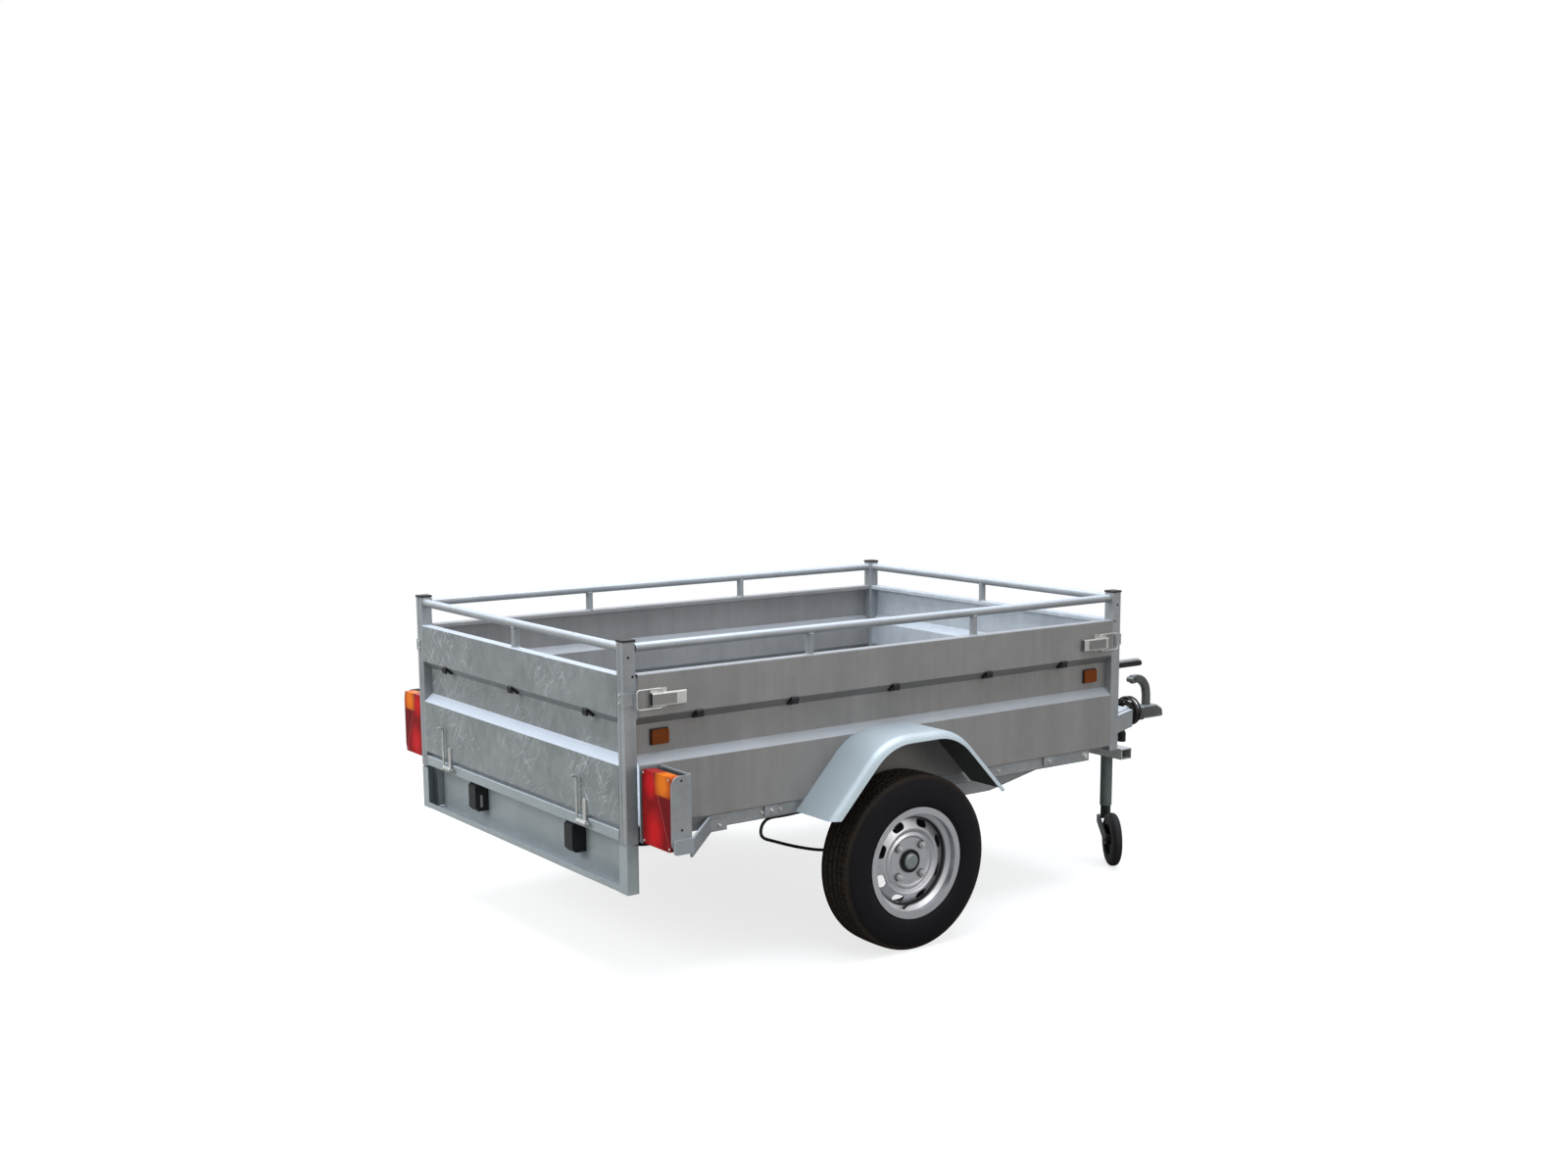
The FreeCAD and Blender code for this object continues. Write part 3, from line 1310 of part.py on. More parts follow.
def make_coupling_lever():
    """A thick cast lever that rises from the head and hooks back over it."""
    lever = body("coupling_lever")
    first, *bends, last = LEVER_SHARES
    wire(lever, "YZ_Plane", "0",
         [lever_spot(first)] + [lever_spot(shares, "CouplingLeverBend") for shares in bends] + [lever_spot(last)],
         across="CouplingLever", thick="CouplingLeverThick")
    start = "-CouplingLever / 2"
    rod(lever, "YZ_Plane", lever_spot(last), "CouplingLeverThick / 2", start, "CouplingLever")
    bore(lever, "YZ_Plane", lever_spot(LEVER_HOLE_SHARES), "CouplingLeverHole / 2", f"{start} - Overrun",
         "CouplingLever + 2 * Overrun")
    keep("coupling_lever", lever)


def cable(label, route, diameter):
    """A tube along a route: straight runs joined by tangent arcs."""
    back = value(ORIGIN)
    spots = [FreeCAD.Vector(across, along - back, up) for across, along, up in route]
    runs = [(ahead - here).Length for here, ahead in zip(spots, spots[1:])]
    pieces = []
    left_off = spots[0]
    tightest = math.inf
    for index in range(1, len(spots) - 1):
        here = spots[index]
        to_last = (spots[index - 1] - here).normalize()
        to_next = (spots[index + 1] - here).normalize()
        half = to_last.getAngle(to_next) / 2
        turn_share = 0.45
        radius = turn_share * min(runs[index - 1], runs[index]) * math.tan(half)
        leave, arrive, middle = corner_arc(here, to_last, to_next, radius)
        tightest = min(tightest, radius)
        crown = middle + (here - middle).normalize() * radius
        pieces.append(Part.makeLine(left_off, leave))
        pieces.append(Part.Arc(leave, crown, arrive).toShape())
        left_off = arrive
    pieces.append(Part.makeLine(left_off, spots[-1]))
    path = Part.Wire(pieces)
    radius = value(diameter) / 2
    section = Part.Wire(Part.makeCircle(radius, spots[0], spots[1] - spots[0]))
    tube = doc.addObject("Part::Feature", label)
    tube.Shape = path.makePipeShell([section], True, False)
    print(f"{label}: {path.Length:.0f} mm, tightest bend {tightest:.0f} mm,"
          f" volume {tube.Shape.Volume / (math.pi * radius ** 2 * path.Length):.4f} of section times length")
    return tube


def make_cables():
    """The lighting lead wound round the coupling's tube, and the cable slung under the floor."""
    ends = doc.addObject("Part::Compound", "cable_ends")
    ends.Links = [cable("lead", LEAD_ROUTE, "LeadCable"), cable("tail", TAIL_ROUTE, "LeadCable")]
    keep("cable_ends", ends)
    coil = place(body("cable_coil"), "0", "CoilPlace", "CoilHeight")
    half, shoulder = "CoilLong / 2", "CoilRadius - LeadCable"
    spun(coil, [
        (f"-({half})", "0"),
        (f"-({half})", shoulder),
        (f"-({half}) + LeadCable / 2", "CoilRadius"),
        (f"{half} - LeadCable / 2", "CoilRadius"),
        (half, shoulder),
        (half, "0"),
    ], "YZ_Plane")
    neck = "CouplingShankWide / 2 + FitGap"
    notch(coil, "XZ_Plane", rectangle(
        f"-({neck})", neck, "DrawbarFoot - FitGap - CoilHeight", "CouplingShankTop + FitGap - CoilHeight"),
        f"-({half}) - Overrun", "CoilLong + 2 * Overrun")
    keep("cable_coil", coil)
    plug = body("cable_plug")
    for radius, foot, top in (("PlugBody", "PlugFoot", "PlugNeckFoot"), ("PlugNeck", "PlugNeckFoot", "PlugGlandFoot"),
                              ("PlugGland", "PlugGlandFoot", "PlugTop")):
        rod(plug, "XY_Plane", ("PlugOut", "PlugPlace"), f"{radius} / 2", foot, f"{top} - {foot}")
    keep("cable_plug", plug)
    keep("body_cable", cable("body_cable", BODY_CABLE_ROUTE, "BodyCable"))
    clips = body("cable_clips")
    half = "ClipWide / 2"
    slab(clips, "XY_Plane", rectangle(
        f"RailClipOut - {half}", f"RailClipOut + {half}", "RailClipPlace - ClipThick / 2",
        "RailClipPlace + ClipThick / 2"), "FrameFoot - ClipHigh", "ClipHigh")
    beam_rear = "WheelPlace + AxleForward - AxleTube / 2"
    slab(clips, "XY_Plane", rectangle(
        f"BeamClipOut - {half}", f"BeamClipOut + {half}", f"{beam_rear} - ClipThick", beam_rear),
        "BeamClipHeight - ClipHigh / 2", "ClipHigh")
    slab(clips, "XY_Plane", rectangle(
        f"-LeadClipOut - {half}", f"-LeadClipOut + {half}", "LeadClipPlace - ClipThick", "LeadClipPlace"),
        "DrawbarFoot + DrawbarWall", "ClipHigh")
    keep("cable_clips", clips)


def make_jockey():
    axis = ("0", "0")
    tube = "JockeyTube / 2"
    leg = place(body("jockey_leg"), "JockeyOut", "JockeyPlace", "0")
    rod(leg, "XY_Plane", axis, tube, "JockeyFoot", "JockeyTop - JockeyFoot", inner=f"{tube} - JockeyWall")
    rod(leg, "XY_Plane", axis, tube, "JockeyTop - JockeyWall", "JockeyWall")
    keep("jockey_leg", leg)

    crank = place(body("jockey_crank"), "JockeyOut", "JockeyPlace", "0")
    rod(crank, "XY_Plane", axis, "CrankRod / 2", "JockeyTop", "CrankHeight - JockeyTop")
    slab(crank, "XY_Plane", rectangle(
        "-CrankWide / 2", "CrankWide / 2", "-CrankWide / 2", "CrankReach - CrankWide / 2", "CrankWide / 4"),
        "CrankHeight", "CrankThick")
    rod(crank, "XZ_Plane", ("0", "CrankHeight + GripSeat - GripRod / 2"), "GripRod / 2", "GripStart",
        "CrankReach - GripStart")
    keep("jockey_crank", crank)

    fork = place(body("jockey_fork"), "JockeyOut", "JockeyPlace", "0", "JockeyHeading")
    rod(fork, "XY_Plane", axis, "JockeyStem / 2", "ForkTop - ForkThick", "JockeyStemTop - ForkTop + ForkThick",
        inner="JockeyStem / 2 - JockeyWall")
    slab(fork, "XY_Plane", rectangle("-ForkWide / 2", "ForkWide / 2", "-ForkFront", "ForkBack", "ForkRound / 2"),
         "ForkTop - ForkThick", "ForkThick")
    for start in ("-ForkWide / 2", "ForkWide / 2 - ForkCheek"):
        slab(fork, "YZ_Plane", [
            ("-ForkFront", "ForkTop"),
            ("-ForkFront", "ForkTop - 2 * ForkRound"),
            ("ForkTrail - ForkRound / 2", "CasterRadius - 1.5 * ForkRound", "ForkRound"),
            ("ForkTrail + 1.5 * ForkRound", "CasterRadius - ForkRound / 2", "ForkRound"),
            ("ForkTrail + ForkRound / 2", "CasterRadius + 1.5 * ForkRound", "ForkRound"),
            ("ForkBack", "ForkTop"),
        ], start, "ForkCheek")
    rod(fork, "YZ_Plane", ("ForkTrail", "CasterRadius"), "CasterBolt / 2", "-ForkWide / 2 - ForkCheek",
        "ForkWide + 2 * ForkCheek")
    keep("jockey_fork", fork)

    wheel_spot = ("JockeyOut - ForkTrail * sin(JockeyHeading)", "JockeyPlace + ForkTrail * cos(JockeyHeading)",
                  "CasterRadius", "JockeyHeading")
    tyre = place(body("jockey_tyre"), *wheel_spot)
    half = "CasterWide / 2"
    bevel = "CasterRadius - CasterBevel"
    spun(tyre, [(f"-{half}", "CasterRim"), (f"-{half}", bevel), (f"-{half} + CasterBevel", "CasterRadius"),
                (f"{half} - CasterBevel", "CasterRadius"), (half, bevel), (half, "CasterRim")])
    keep("jockey_tyre", tyre)
    hub = place(body("jockey_hub"), *wheel_spot)
    boss, web, bored = "CasterHubWide / 2", "CasterWeb / 2", "CasterBolt / 2 + FitGap"
    lip = "CasterRim - JockeyWall"
    spun(hub, [(f"-{boss}", bored), (f"-{boss}", "CasterHub"), (f"-{web}", "CasterHub"), (f"-{web}", lip),
               (f"-{half}", lip), (f"-{half}", "CasterRim"), (half, "CasterRim"), (half, lip),
               (web, lip), (web, "CasterHub"), (boss, "CasterHub"), (boss, bored)])
    keep("jockey_hub", hub)


def make_jockey_clamp():
    """A short box tube that stands out from the drawbar's right arm, with the leg through it."""
    clamp = body("jockey_clamp")
    end = "JockeyOut + ClampReach"
    half, near = "ClampDeep / 2", "JockeyTube / 2 + FitGap"

    def root(along):
        return (f"DrawbarTipOut + DrawbarWide / 2 / cos({DRAWBAR_TURN})"
                f" + (DrawbarTipPlace - ({along})) * tan({DRAWBAR_TURN})", along)

    slab(clamp, "XY_Plane", [
        root(f"JockeyPlace - {half}"),
        (end, f"JockeyPlace - {half}"),
        (end, f"JockeyPlace + {half}"),
        root(f"JockeyPlace + {half}"),
    ], "ClampFoot", "ClampHigh")
    notch(clamp, "YZ_Plane", rectangle(
        f"JockeyPlace - {near}", f"JockeyPlace + {near}", "ClampFoot + ClampWall",
        "ClampFoot + ClampHigh - ClampWall"), "DrawbarTipOut", f"{end} - DrawbarTipOut + Overrun")
    notch(clamp, "XY_Plane", rectangle(
        f"JockeyOut - ({near})", f"JockeyOut + {near}", f"JockeyPlace - ({near})", f"JockeyPlace + {near}"),
        "ClampFoot - Overrun", "ClampHigh + 2 * Overrun")
    keep("jockey_clamp", clamp)


make_side_panels()
make_gate_panel("tailgate_panel", "0", "+", "GateFoot")
make_gate_panel("front_panel", "BodyLength", "-", "PanelFoot")
make_gate_frame("tailgate_frame", "0", "+", "TailPostFoot")
make_gate_frame("front_frame", "BodyLength", "-", "FrontPostFoot")
make_caps("tailgate_caps", "0", "+")
make_caps("front_caps", "BodyLength", "-")
make_catches("tailgate_catches", "0", "+")
make_catches("front_catches", "BodyLength", "-")
make_latches()
make_top_rails()
make_frame()
make_apron()
make_plate_lamps()
make_hinges()
make_hooks()
make_side_markers()
make_tail_lamps()
make_wheels()
make_axle()
make_mudguards()
make_drawbar()
make_coupling()
make_coupling_lever()
make_cables()
make_jockey()
make_jockey_clamp()
doc.recompute()

faults = [f"{item.Label}: {item.State}" for item in doc.Objects
          if "Invalid" in item.State or "Error" in item.State]
for item in doc.Objects:
    if item.TypeId == "PartDesign::Pocket" and not faults and item.Shape.Volume >= item.BaseFeature.Shape.Volume:
        faults.append(f"{item.Label} of {item.getParentGeoFeatureGroup().Label} cuts nothing")
for label, piece in nodes.items():
    if piece.Shape.isNull() or not piece.Shape.isValid() or not piece.Shape.Solids:
        faults.append(f"{label}: no valid solid")
if faults:
    raise SystemExit("\n".join(faults))

os.makedirs("parts", exist_ok=True)
for label, piece in nodes.items():
    piece.Shape.exportStep(f"parts/{label}.step")
print(f"{len(nodes)} nodes, origin {value(ORIGIN):.1f} mm ahead of the tail posts")
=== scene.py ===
# %% [markdown]
# # A galvanised box trailer, dressed for its portrait
#
# The metalwork arrives finished from CAD: folded sheets, tubes, wheels and hinges, all at their
# real size. What is missing is everything that makes zinc look like zinc, and the small soft things
# that CAD leaves plain: tyres with a tread, the lighting lead wound round the drawbar, screws,
# rivets and welds. This lesson adds those, one piece and one finish at a time.

# %% Load the frame
import json
import math

import bpy
from mathutils import Matrix, Vector


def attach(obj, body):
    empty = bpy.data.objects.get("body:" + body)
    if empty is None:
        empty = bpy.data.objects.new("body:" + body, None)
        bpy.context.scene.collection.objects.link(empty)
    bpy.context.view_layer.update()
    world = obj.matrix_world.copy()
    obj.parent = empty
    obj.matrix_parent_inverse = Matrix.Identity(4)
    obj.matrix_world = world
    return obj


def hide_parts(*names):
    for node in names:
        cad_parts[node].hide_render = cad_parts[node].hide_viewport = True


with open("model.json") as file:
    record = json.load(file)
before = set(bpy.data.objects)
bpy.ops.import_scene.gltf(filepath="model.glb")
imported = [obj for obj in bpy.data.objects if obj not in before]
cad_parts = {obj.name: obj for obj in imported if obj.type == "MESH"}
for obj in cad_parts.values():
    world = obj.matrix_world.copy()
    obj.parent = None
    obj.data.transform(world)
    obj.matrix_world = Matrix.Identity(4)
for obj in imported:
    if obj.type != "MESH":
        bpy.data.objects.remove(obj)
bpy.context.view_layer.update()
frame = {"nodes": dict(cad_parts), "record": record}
nodes = frame["nodes"]
bpy.ops.object.select_all(action="DESELECT")

# %% [markdown]
# ## A tape measure
#
# The frame's lengths are metres, while a maker measures a trailer in millimetres from its tail. One
# small function turns such a measure into a place in the frame, so that each number below can be
# checked on the real thing with a tape.

# %% Measure from the tail posts
MILLIMETRES = 1000
TAIL_TO_ORIGIN = 1472.5
SIDES = (1, -1)


def spot(across, along, up):
    """A place measured in millimetres from the tail posts' rear face, in the frame's metres."""
    return Vector((across, along - TAIL_TO_ORIGIN, up)) / MILLIMETRES


print("the tail posts' rear face is at", tuple(spot(0, 0, 0)))

# %% [markdown]
# ## Camera
#
# The photograph was taken from behind the right-hand rear corner, a little above the top rails.
# The verticals stay nearly parallel, so this is a long view from about six and a half metres. The place and
# the angles below were worked out from the box's own right angles.

# %% Place the camera
CAMERA_PLACE = Vector((5.0036, -3.9788, 1.7643))
CAMERA_AZIMUTH = math.radians(53.352)
CAMERA_DOWN = math.radians(8.939)
CAMERA_ROLL = math.radians(-0.183)
PHOTO_WIDE = 1600
FOCAL_PIXELS = 1811.3
SENSOR = 36.0
SHIFT_ACROSS, SHIFT_UP = -0.0235, 0.0475

bpy.ops.object.camera_add(location=CAMERA_PLACE)
camera = bpy.context.object
camera.name = "portrait_camera"
camera.rotation_euler = (
    Matrix.Rotation(CAMERA_AZIMUTH, 3, "Z")
    @ Matrix.Rotation(math.radians(90) - CAMERA_DOWN, 3, "X")
    @ Matrix.Rotation(CAMERA_ROLL, 3, "Z")
).to_euler()
camera.data.sensor_width = SENSOR
camera.data.lens = FOCAL_PIXELS / PHOTO_WIDE * SENSOR
camera.data.shift_x = SHIFT_ACROSS
camera.data.shift_y = SHIFT_UP
camera.data.clip_end = 100
bpy.context.scene.camera = camera
print("camera lens", round(camera.data.lens, 2), "mm")

# %% [markdown]
# ## The cords
#
# Two cables show: the lighting lead, wound round the coupling's tube, and a second cable that hangs
# under the floor. A cable could be a row of cylinders, but its bends would show the joints. Each is
# one smooth NURBS line with a round section instead, drawn through the points of its CAD tube.

# %% A cable from its points
LEAD_THICK = 0.008


def cable_line(name, places, diameter):
    """One open spline with a round section."""
    curve = bpy.data.curves.new(name, "CURVE")
    curve.dimensions = "3D"
    spline = curve.splines.new("NURBS")
    spline.points.add(len(places) - 1)
    for point, place in zip(spline.points, places):
        point.co = (*place, 1)
    spline.order_u = 3
    spline.use_endpoint_u = True
    curve.resolution_u = 8
    curve.bevel_depth = diameter / 2
    curve.bevel_resolution = 4
    curve.use_fill_caps = True
    piece = bpy.data.objects.new(name, curve)
    bpy.context.collection.objects.link(piece)
    return piece


def line_length(piece):
    """The length of a spline, measured on a copy without its thickness."""
    thick = piece.data.bevel_depth
    piece.data.bevel_depth = 0
    piece.data.use_fill_caps = False
    depsgraph = bpy.context.evaluated_depsgraph_get()
    bare = bpy.data.meshes.new_from_object(piece.evaluated_get(depsgraph))
    piece.data.bevel_depth = thick
    piece.data.use_fill_caps = True
    places = [vertex.co.copy() for vertex in bare.vertices]
    bpy.data.meshes.remove(bare)
    return sum((ahead - here).length for here, ahead in zip(places, places[1:]))


print("the lead is", round(LEAD_THICK * MILLIMETRES), "mm thick")

# %% [markdown]
# ## Winding the lead
#
# The lead comes out of the left drawbar arm, is wound a little over nine times round the coupling's
# tube and ends in its plug. It was wound by hand, in a loose outer layer that goes forward and a
# tight one that comes back under it. A plain helix would look like a spring, so here each point is
# worked out from its turn, and a turn can be looser or squarer than the one before it.

# %% Wind the lead round the coupling's tube
TURN_POINTS = 16
LAST_POINT = 150
OUTER_TURNS = 5
COIL_REAR, COIL_FRONT, COIL_FOOT = 2765.0, 2799.5, 380.5
COIL_PITCH = 8.6
TIGHT_WIDE, TIGHT_HIGH = 35.0, 37.5
TIGHT_SWAY_WIDE, TIGHT_SWAY_HIGH = 6.0, 5.5
OUTER_WIDE, OUTER_HIGH = 17.0, 22.0
OUTER_SWAY_WIDE, OUTER_SWAY_HIGH = 7.5, 7.0
OPENING_WIDE = 8.0
OUTER_SAG = 7.0


def winding():
    """Turns seen from behind run clockwise: outer ones going forward, tight ones coming back."""
    places = []
    for point in range(1, LAST_POINT + 1):
        turns = point / TURN_POINTS
        angle = math.pi * (1 - 2 * turns)
        outer = min(1.0, max(0.0, (OUTER_TURNS + 0.3 - turns) / 0.8))
        opening = min(1.0, turns / 0.35)
        sway = 0.5 + 0.5 * math.sin(2.1 * turns + 1.0)
        half_wide = TIGHT_WIDE + TIGHT_SWAY_WIDE * sway * (1 - outer)
        half_wide += outer * (OUTER_WIDE + OPENING_WIDE * opening - OUTER_SWAY_WIDE * sway)
        half_high = TIGHT_HIGH + TIGHT_SWAY_HIGH * sway * (1 - outer)
        half_high += outer * (OUTER_HIGH - OUTER_SWAY_HIGH * sway)
        middle = COIL_FOOT - OUTER_SAG * outer + half_high
        corner = 3.0 - outer
        reach = (abs(math.cos(angle)) ** corner + abs(math.sin(angle)) ** corner) ** (-1 / corner)
        if turns < OUTER_TURNS:
            pitches = max(0.0, turns - 0.2)
        else:
            pitches = 2 * OUTER_TURNS - 0.9 - turns
        along = min(max(COIL_REAR + COIL_PITCH * pitches, COIL_REAR - 0.5), COIL_FRONT)
        across = half_wide * reach * math.cos(angle)
        places.append(spot(across, along, middle + half_high * reach * math.sin(angle)))
    return places


LEAD_START = [spot(*place) for place in (
    (-112, 2616, 405), (-112, 2640, 405), (-95, 2680, 412), (-68, 2718, 419), (-57, 2740, 421),
    (-54.5, 2751, 424), (-53, 2760, 430))]
LEAD_END = [spot(*place) for place in (
    (38, 2757, 446), (39, 2743, 437), (37.5, 2729, 426), (36, 2720, 412), (36, 2717, 398),
    (36, 2717, 384))]
lead = cable_line("lighting_lead", LEAD_START + winding() + LEAD_END, LEAD_THICK)
LEAD_LONG = round(line_length(lead), 3)
print("the lead is", LEAD_LONG, "m long, in", LAST_POINT / TURN_POINTS, "turns")

# %% [markdown]
# ## The cable under the floor
#
# A thicker cable leaves a clip on the right frame rail, sags in a bow under the floor and ends at a
# clip on the axle beam. Blender could let a chain of points fall into that bow, but the result would
# hang on the settings of a simulation. The points of the real bow are simply written down.

# %% Hang the body cable
BODY_THICK = 0.010
BODY_ROUTE = [
    (652, 690, 450), (652, 652, 450), (647, 595, 445), (642, 535, 446), (638, 515, 428),
    (634, 510.5, 402), (628, 523.5, 379.5), (620, 565.5, 363.4), (600, 653, 329), (575, 760, 294),
    (562, 822, 280), (540, 930, 273), (526, 980, 291), (512, 1016, 320), (512, 1044, 320)]
body_cable = cable_line("under_floor_cable", [spot(*place) for place in BODY_ROUTE], BODY_THICK)
BODY_LONG = round(line_length(body_cable), 3)
print("the cable under the floor is", BODY_LONG, "m long")

# %% [markdown]
# ## Modelling helpers
#
# Everything from here on is modelled as by hand: a primitive is added, shaped in edit mode and
# finished with modifiers. An operator works on whatever is chosen at that moment, so each helper
# first puts down what was held before and takes up only what it needs.

# %% Shared steps


def put_down():
    """Leaves edit mode with nothing chosen."""
    if bpy.context.object and bpy.context.object.mode != "OBJECT":
        bpy.ops.object.mode_set(mode="OBJECT")
    bpy.ops.object.select_all(action="DESELECT")


def take(piece):
    """Makes one piece the chosen and active one."""
    put_down()
    bpy.context.view_layer.objects.active = piece
    piece.select_set(True)
    return piece


def choose_faces(piece, wanted):
    """Enters edit mode with only the wanted faces chosen, and says how many there are."""
    take(piece)
    bpy.ops.object.mode_set(mode="EDIT")
    bpy.ops.mesh.select_mode(type="FACE")
    bpy.ops.mesh.select_all(action="DESELECT")
    bpy.ops.object.mode_set(mode="OBJECT")
    chosen = [polygon for polygon in piece.data.polygons if wanted(polygon)]
    for polygon in chosen:
        polygon.select = True
    count = len(chosen)
    bpy.ops.object.mode_set(mode="EDIT")
    return count


def leave_faces():
    """Goes back to choosing points, and to object mode."""
    bpy.ops.mesh.select_mode(type="VERT")
    bpy.ops.object.mode_set(mode="OBJECT")


def apply_modifier(piece, kind, **settings):
    """Adds a modifier with its settings and makes it part of the mesh."""
    take(piece)
    modifier = piece.modifiers.new(kind.lower(), kind)
    for name, setting in settings.items():
        setattr(modifier, name, setting)
    bpy.ops.object.modifier_apply(modifier=modifier.name)
    return piece


def fix_place(piece):
    """Moves a piece's place, turn and scale into its mesh."""
    take(piece)
    bpy.ops.object.transform_apply(location=True, rotation=True, scale=True)


def settle(piece, smooth=30):
    """Puts a piece's place into its mesh, mends it and shades it."""
    fix_place(piece)
    bpy.ops.object.mode_set(mode="EDIT")
    bpy.ops.mesh.select_all(action="SELECT")
    bpy.ops.mesh.remove_doubles(threshold=0.00001)
    bpy.ops.mesh.normals_make_consistent(inside=False)
    bpy.ops.object.mode_set(mode="OBJECT")
    bpy.ops.object.shade_smooth_by_angle(angle=math.radians(smooth))
    put_down()
    return piece


def joined(name, pieces):
    """Several pieces as one, under one name."""
    put_down()
    for piece in pieces:
        piece.select_set(True)
    bpy.context.view_layer.objects.active = pieces[0]
    if len(pieces) > 1:
        bpy.ops.object.join()
    pieces[0].name = name
    pieces[0].data.name = name
    put_down()
    return pieces[0]


def turned(name, profile, place, axis, steps):
    """A ring of (along, radius) points in millimetres, spun round an axis through a place."""
    put_down()
    bpy.ops.mesh.primitive_circle_add(vertices=len(profile), radius=0.1, fill_type="NOTHING")
    piece = bpy.context.object
    piece.name = name
    side = Vector((0, 0, 1)) if axis.z == 0 else Vector((0, 1, 0))
    for vertex, (along, radius) in zip(piece.data.vertices, profile):
        vertex.co = (axis * along + side * radius) / MILLIMETRES
    bpy.ops.object.mode_set(mode="EDIT")
    bpy.ops.mesh.select_all(action="SELECT")
    bpy.ops.mesh.spin(steps=steps, angle=2 * math.pi, center=(0, 0, 0), axis=axis)
    bpy.ops.mesh.select_all(action="SELECT")
    bpy.ops.mesh.remove_doubles(threshold=0.00002)
    bpy.ops.mesh.normals_make_consistent(inside=False)
    bpy.ops.object.mode_set(mode="OBJECT")
    piece.location = place
    return piece


def stamped(name, model, places):
    """Copies of a small model, each with its own mesh, at (place, direction) pairs, as one piece."""
    copies = []
    for place, direction in places:
        copy = bpy.data.objects.new(name, model.data.copy())
        bpy.context.collection.objects.link(copy)
        turn = Vector(direction).to_track_quat("Z", "Y").to_matrix().to_4x4()
        copy.data.transform(Matrix.Translation(place) @ turn)
        copies.append(copy)
    bpy.data.objects.remove(model)
    return settle(joined(name, copies))


def mirrored(profile):
    """The other half of a section, from its middle outwards."""
    return [(-along, radius) for along, radius in reversed(profile)]


# %% [markdown]
# ## Tyres
#
# A 13 inch road tyre: a rounded side wall that bulges over the rim's edge, a square shoulder and a
# tread of six ribs. A torus would give a bicycle's tube. The section is drawn as a closed ring of
# points instead, and spun in fine steps about the wheel's axis, so the grooves between the ribs are
# real.

# %% Section of the tyre
TYRE_CENTRE = (796.5, 945, 282)
SIDE_WALL = [
    (47, 163), (53, 162.5), (59, 164.5), (62, 169), (62.6, 177), (64.2, 180.5), (67.5, 184),
    (70.6, 190), (71.6, 193.5), (72.6, 194.2), (73.4, 199), (74.6, 208), (75, 218), (74.9, 227),
    (74.3, 229.5), (74.4, 231.5), (73.6, 240), (72.2, 249), (70.2, 257), (68.8, 261.5),
    (67.6, 263.6), (66.2, 264.4), (64.6, 268), (62.4, 272.5), (60.4, 276), (58.6, 278.2),
    (55.5, 279.6), (47.2, 280.6)]
TREAD = [
    (46.2, 280.7), (45.4, 275.2), (41.0, 275.2), (40.2, 281.0), (26.0, 281.6), (25.2, 275.4),
    (20.4, 275.4), (19.6, 281.8), (3.2, 282.0), (2.4, 275.8)]
INNER_LINING = [(45, 252), (60, 236), (62, 205), (47, 180)]
TYRE_STEPS = 168

outer_half = SIDE_WALL + TREAD
tyre_section = outer_half + mirrored(outer_half) + mirrored(INNER_LINING) + INNER_LINING
print("the tyre's section has", len(tyre_section), "points")

# %% [markdown]
# ## Tread
#
# Cross cuts make a tread read as rubber blocks and not as stripes. A boolean with a hundred bars
# would be slow and leave ragged edges. The spin has already laid even faces round each rib, so
# every second or fourth one is drawn in and pressed down. The left tyre is a mirrored copy.

# %% Spin the tyres and cut their tread
RIBS = [(47.3, 58.5, 2), (26.5, 40.0, 2), (3.4, 19.5, 4)]
TREAD_RADIUS = 277.5
CUT_MARGIN, CUT_DEEP = 0.0036, 0.0045


def in_a_cut(polygon):
    """Whether a face lies on a rib and on one of the steps that are cut."""
    middle = polygon.center
    across = abs(middle.x) * MILLIMETRES
    radius = math.hypot(middle.y, middle.z) * MILLIMETRES
    turn = math.atan2(middle.z, middle.y) % (2 * math.pi) / (2 * math.pi)
    step = round(turn * TYRE_STEPS - 0.5) + (1 if middle.x > 0 else 0)
    return radius > TREAD_RADIUS and any(
        inner < across < outer and step % every == 0 for inner, outer, every in RIBS)


tyre_right = turned("road_tyre_right", tyre_section, (0, 0, 0), Vector((1, 0, 0)), TYRE_STEPS)
cuts = choose_faces(tyre_right, in_a_cut)
bpy.ops.mesh.inset(thickness=CUT_MARGIN, depth=-CUT_DEEP, use_individual=True, use_boundary=True)
leave_faces()
put_down()
tyre_left = bpy.data.objects.new("road_tyre_left", tyre_right.data.copy())
bpy.context.collection.objects.link(tyre_left)
tyre_left.data.transform(Matrix.Scale(-1, 4, (1, 0, 0)))
for side, piece in zip(SIDES, (tyre_right, tyre_left)):
    piece.location = spot(side * TYRE_CENTRE[0], *TYRE_CENTRE[1:])
    settle(piece, 24)
print("each tyre has", cuts, "cross cuts and", len(tyre_right.data.polygons), "faces")

# %% [markdown]
# ## The jockey wheel's tyre
#
# A small solid tyre on a plastic disc, crowned and with two fine mould lines. A bevelled cylinder
# would come close, but the mould lines need a drawn section, so it is spun as the road tyres are,
# about the axis that the swivelled fork gives it.

# %% Spin the small tyre
CASTER_HEADING = math.radians(238.5)
CASTER_TRAIL = 105
CASTER_STEM = (442, 2213)
CASTER_UP = 98
CASTER_HALF = [
    (18, 60.2), (18, 76), (17.4, 84), (16.0, 89.5), (13.4, 93.6), (10.0, 96.2), (6.0, 97.5),
    (5.2, 96.9), (4.4, 97.8)]

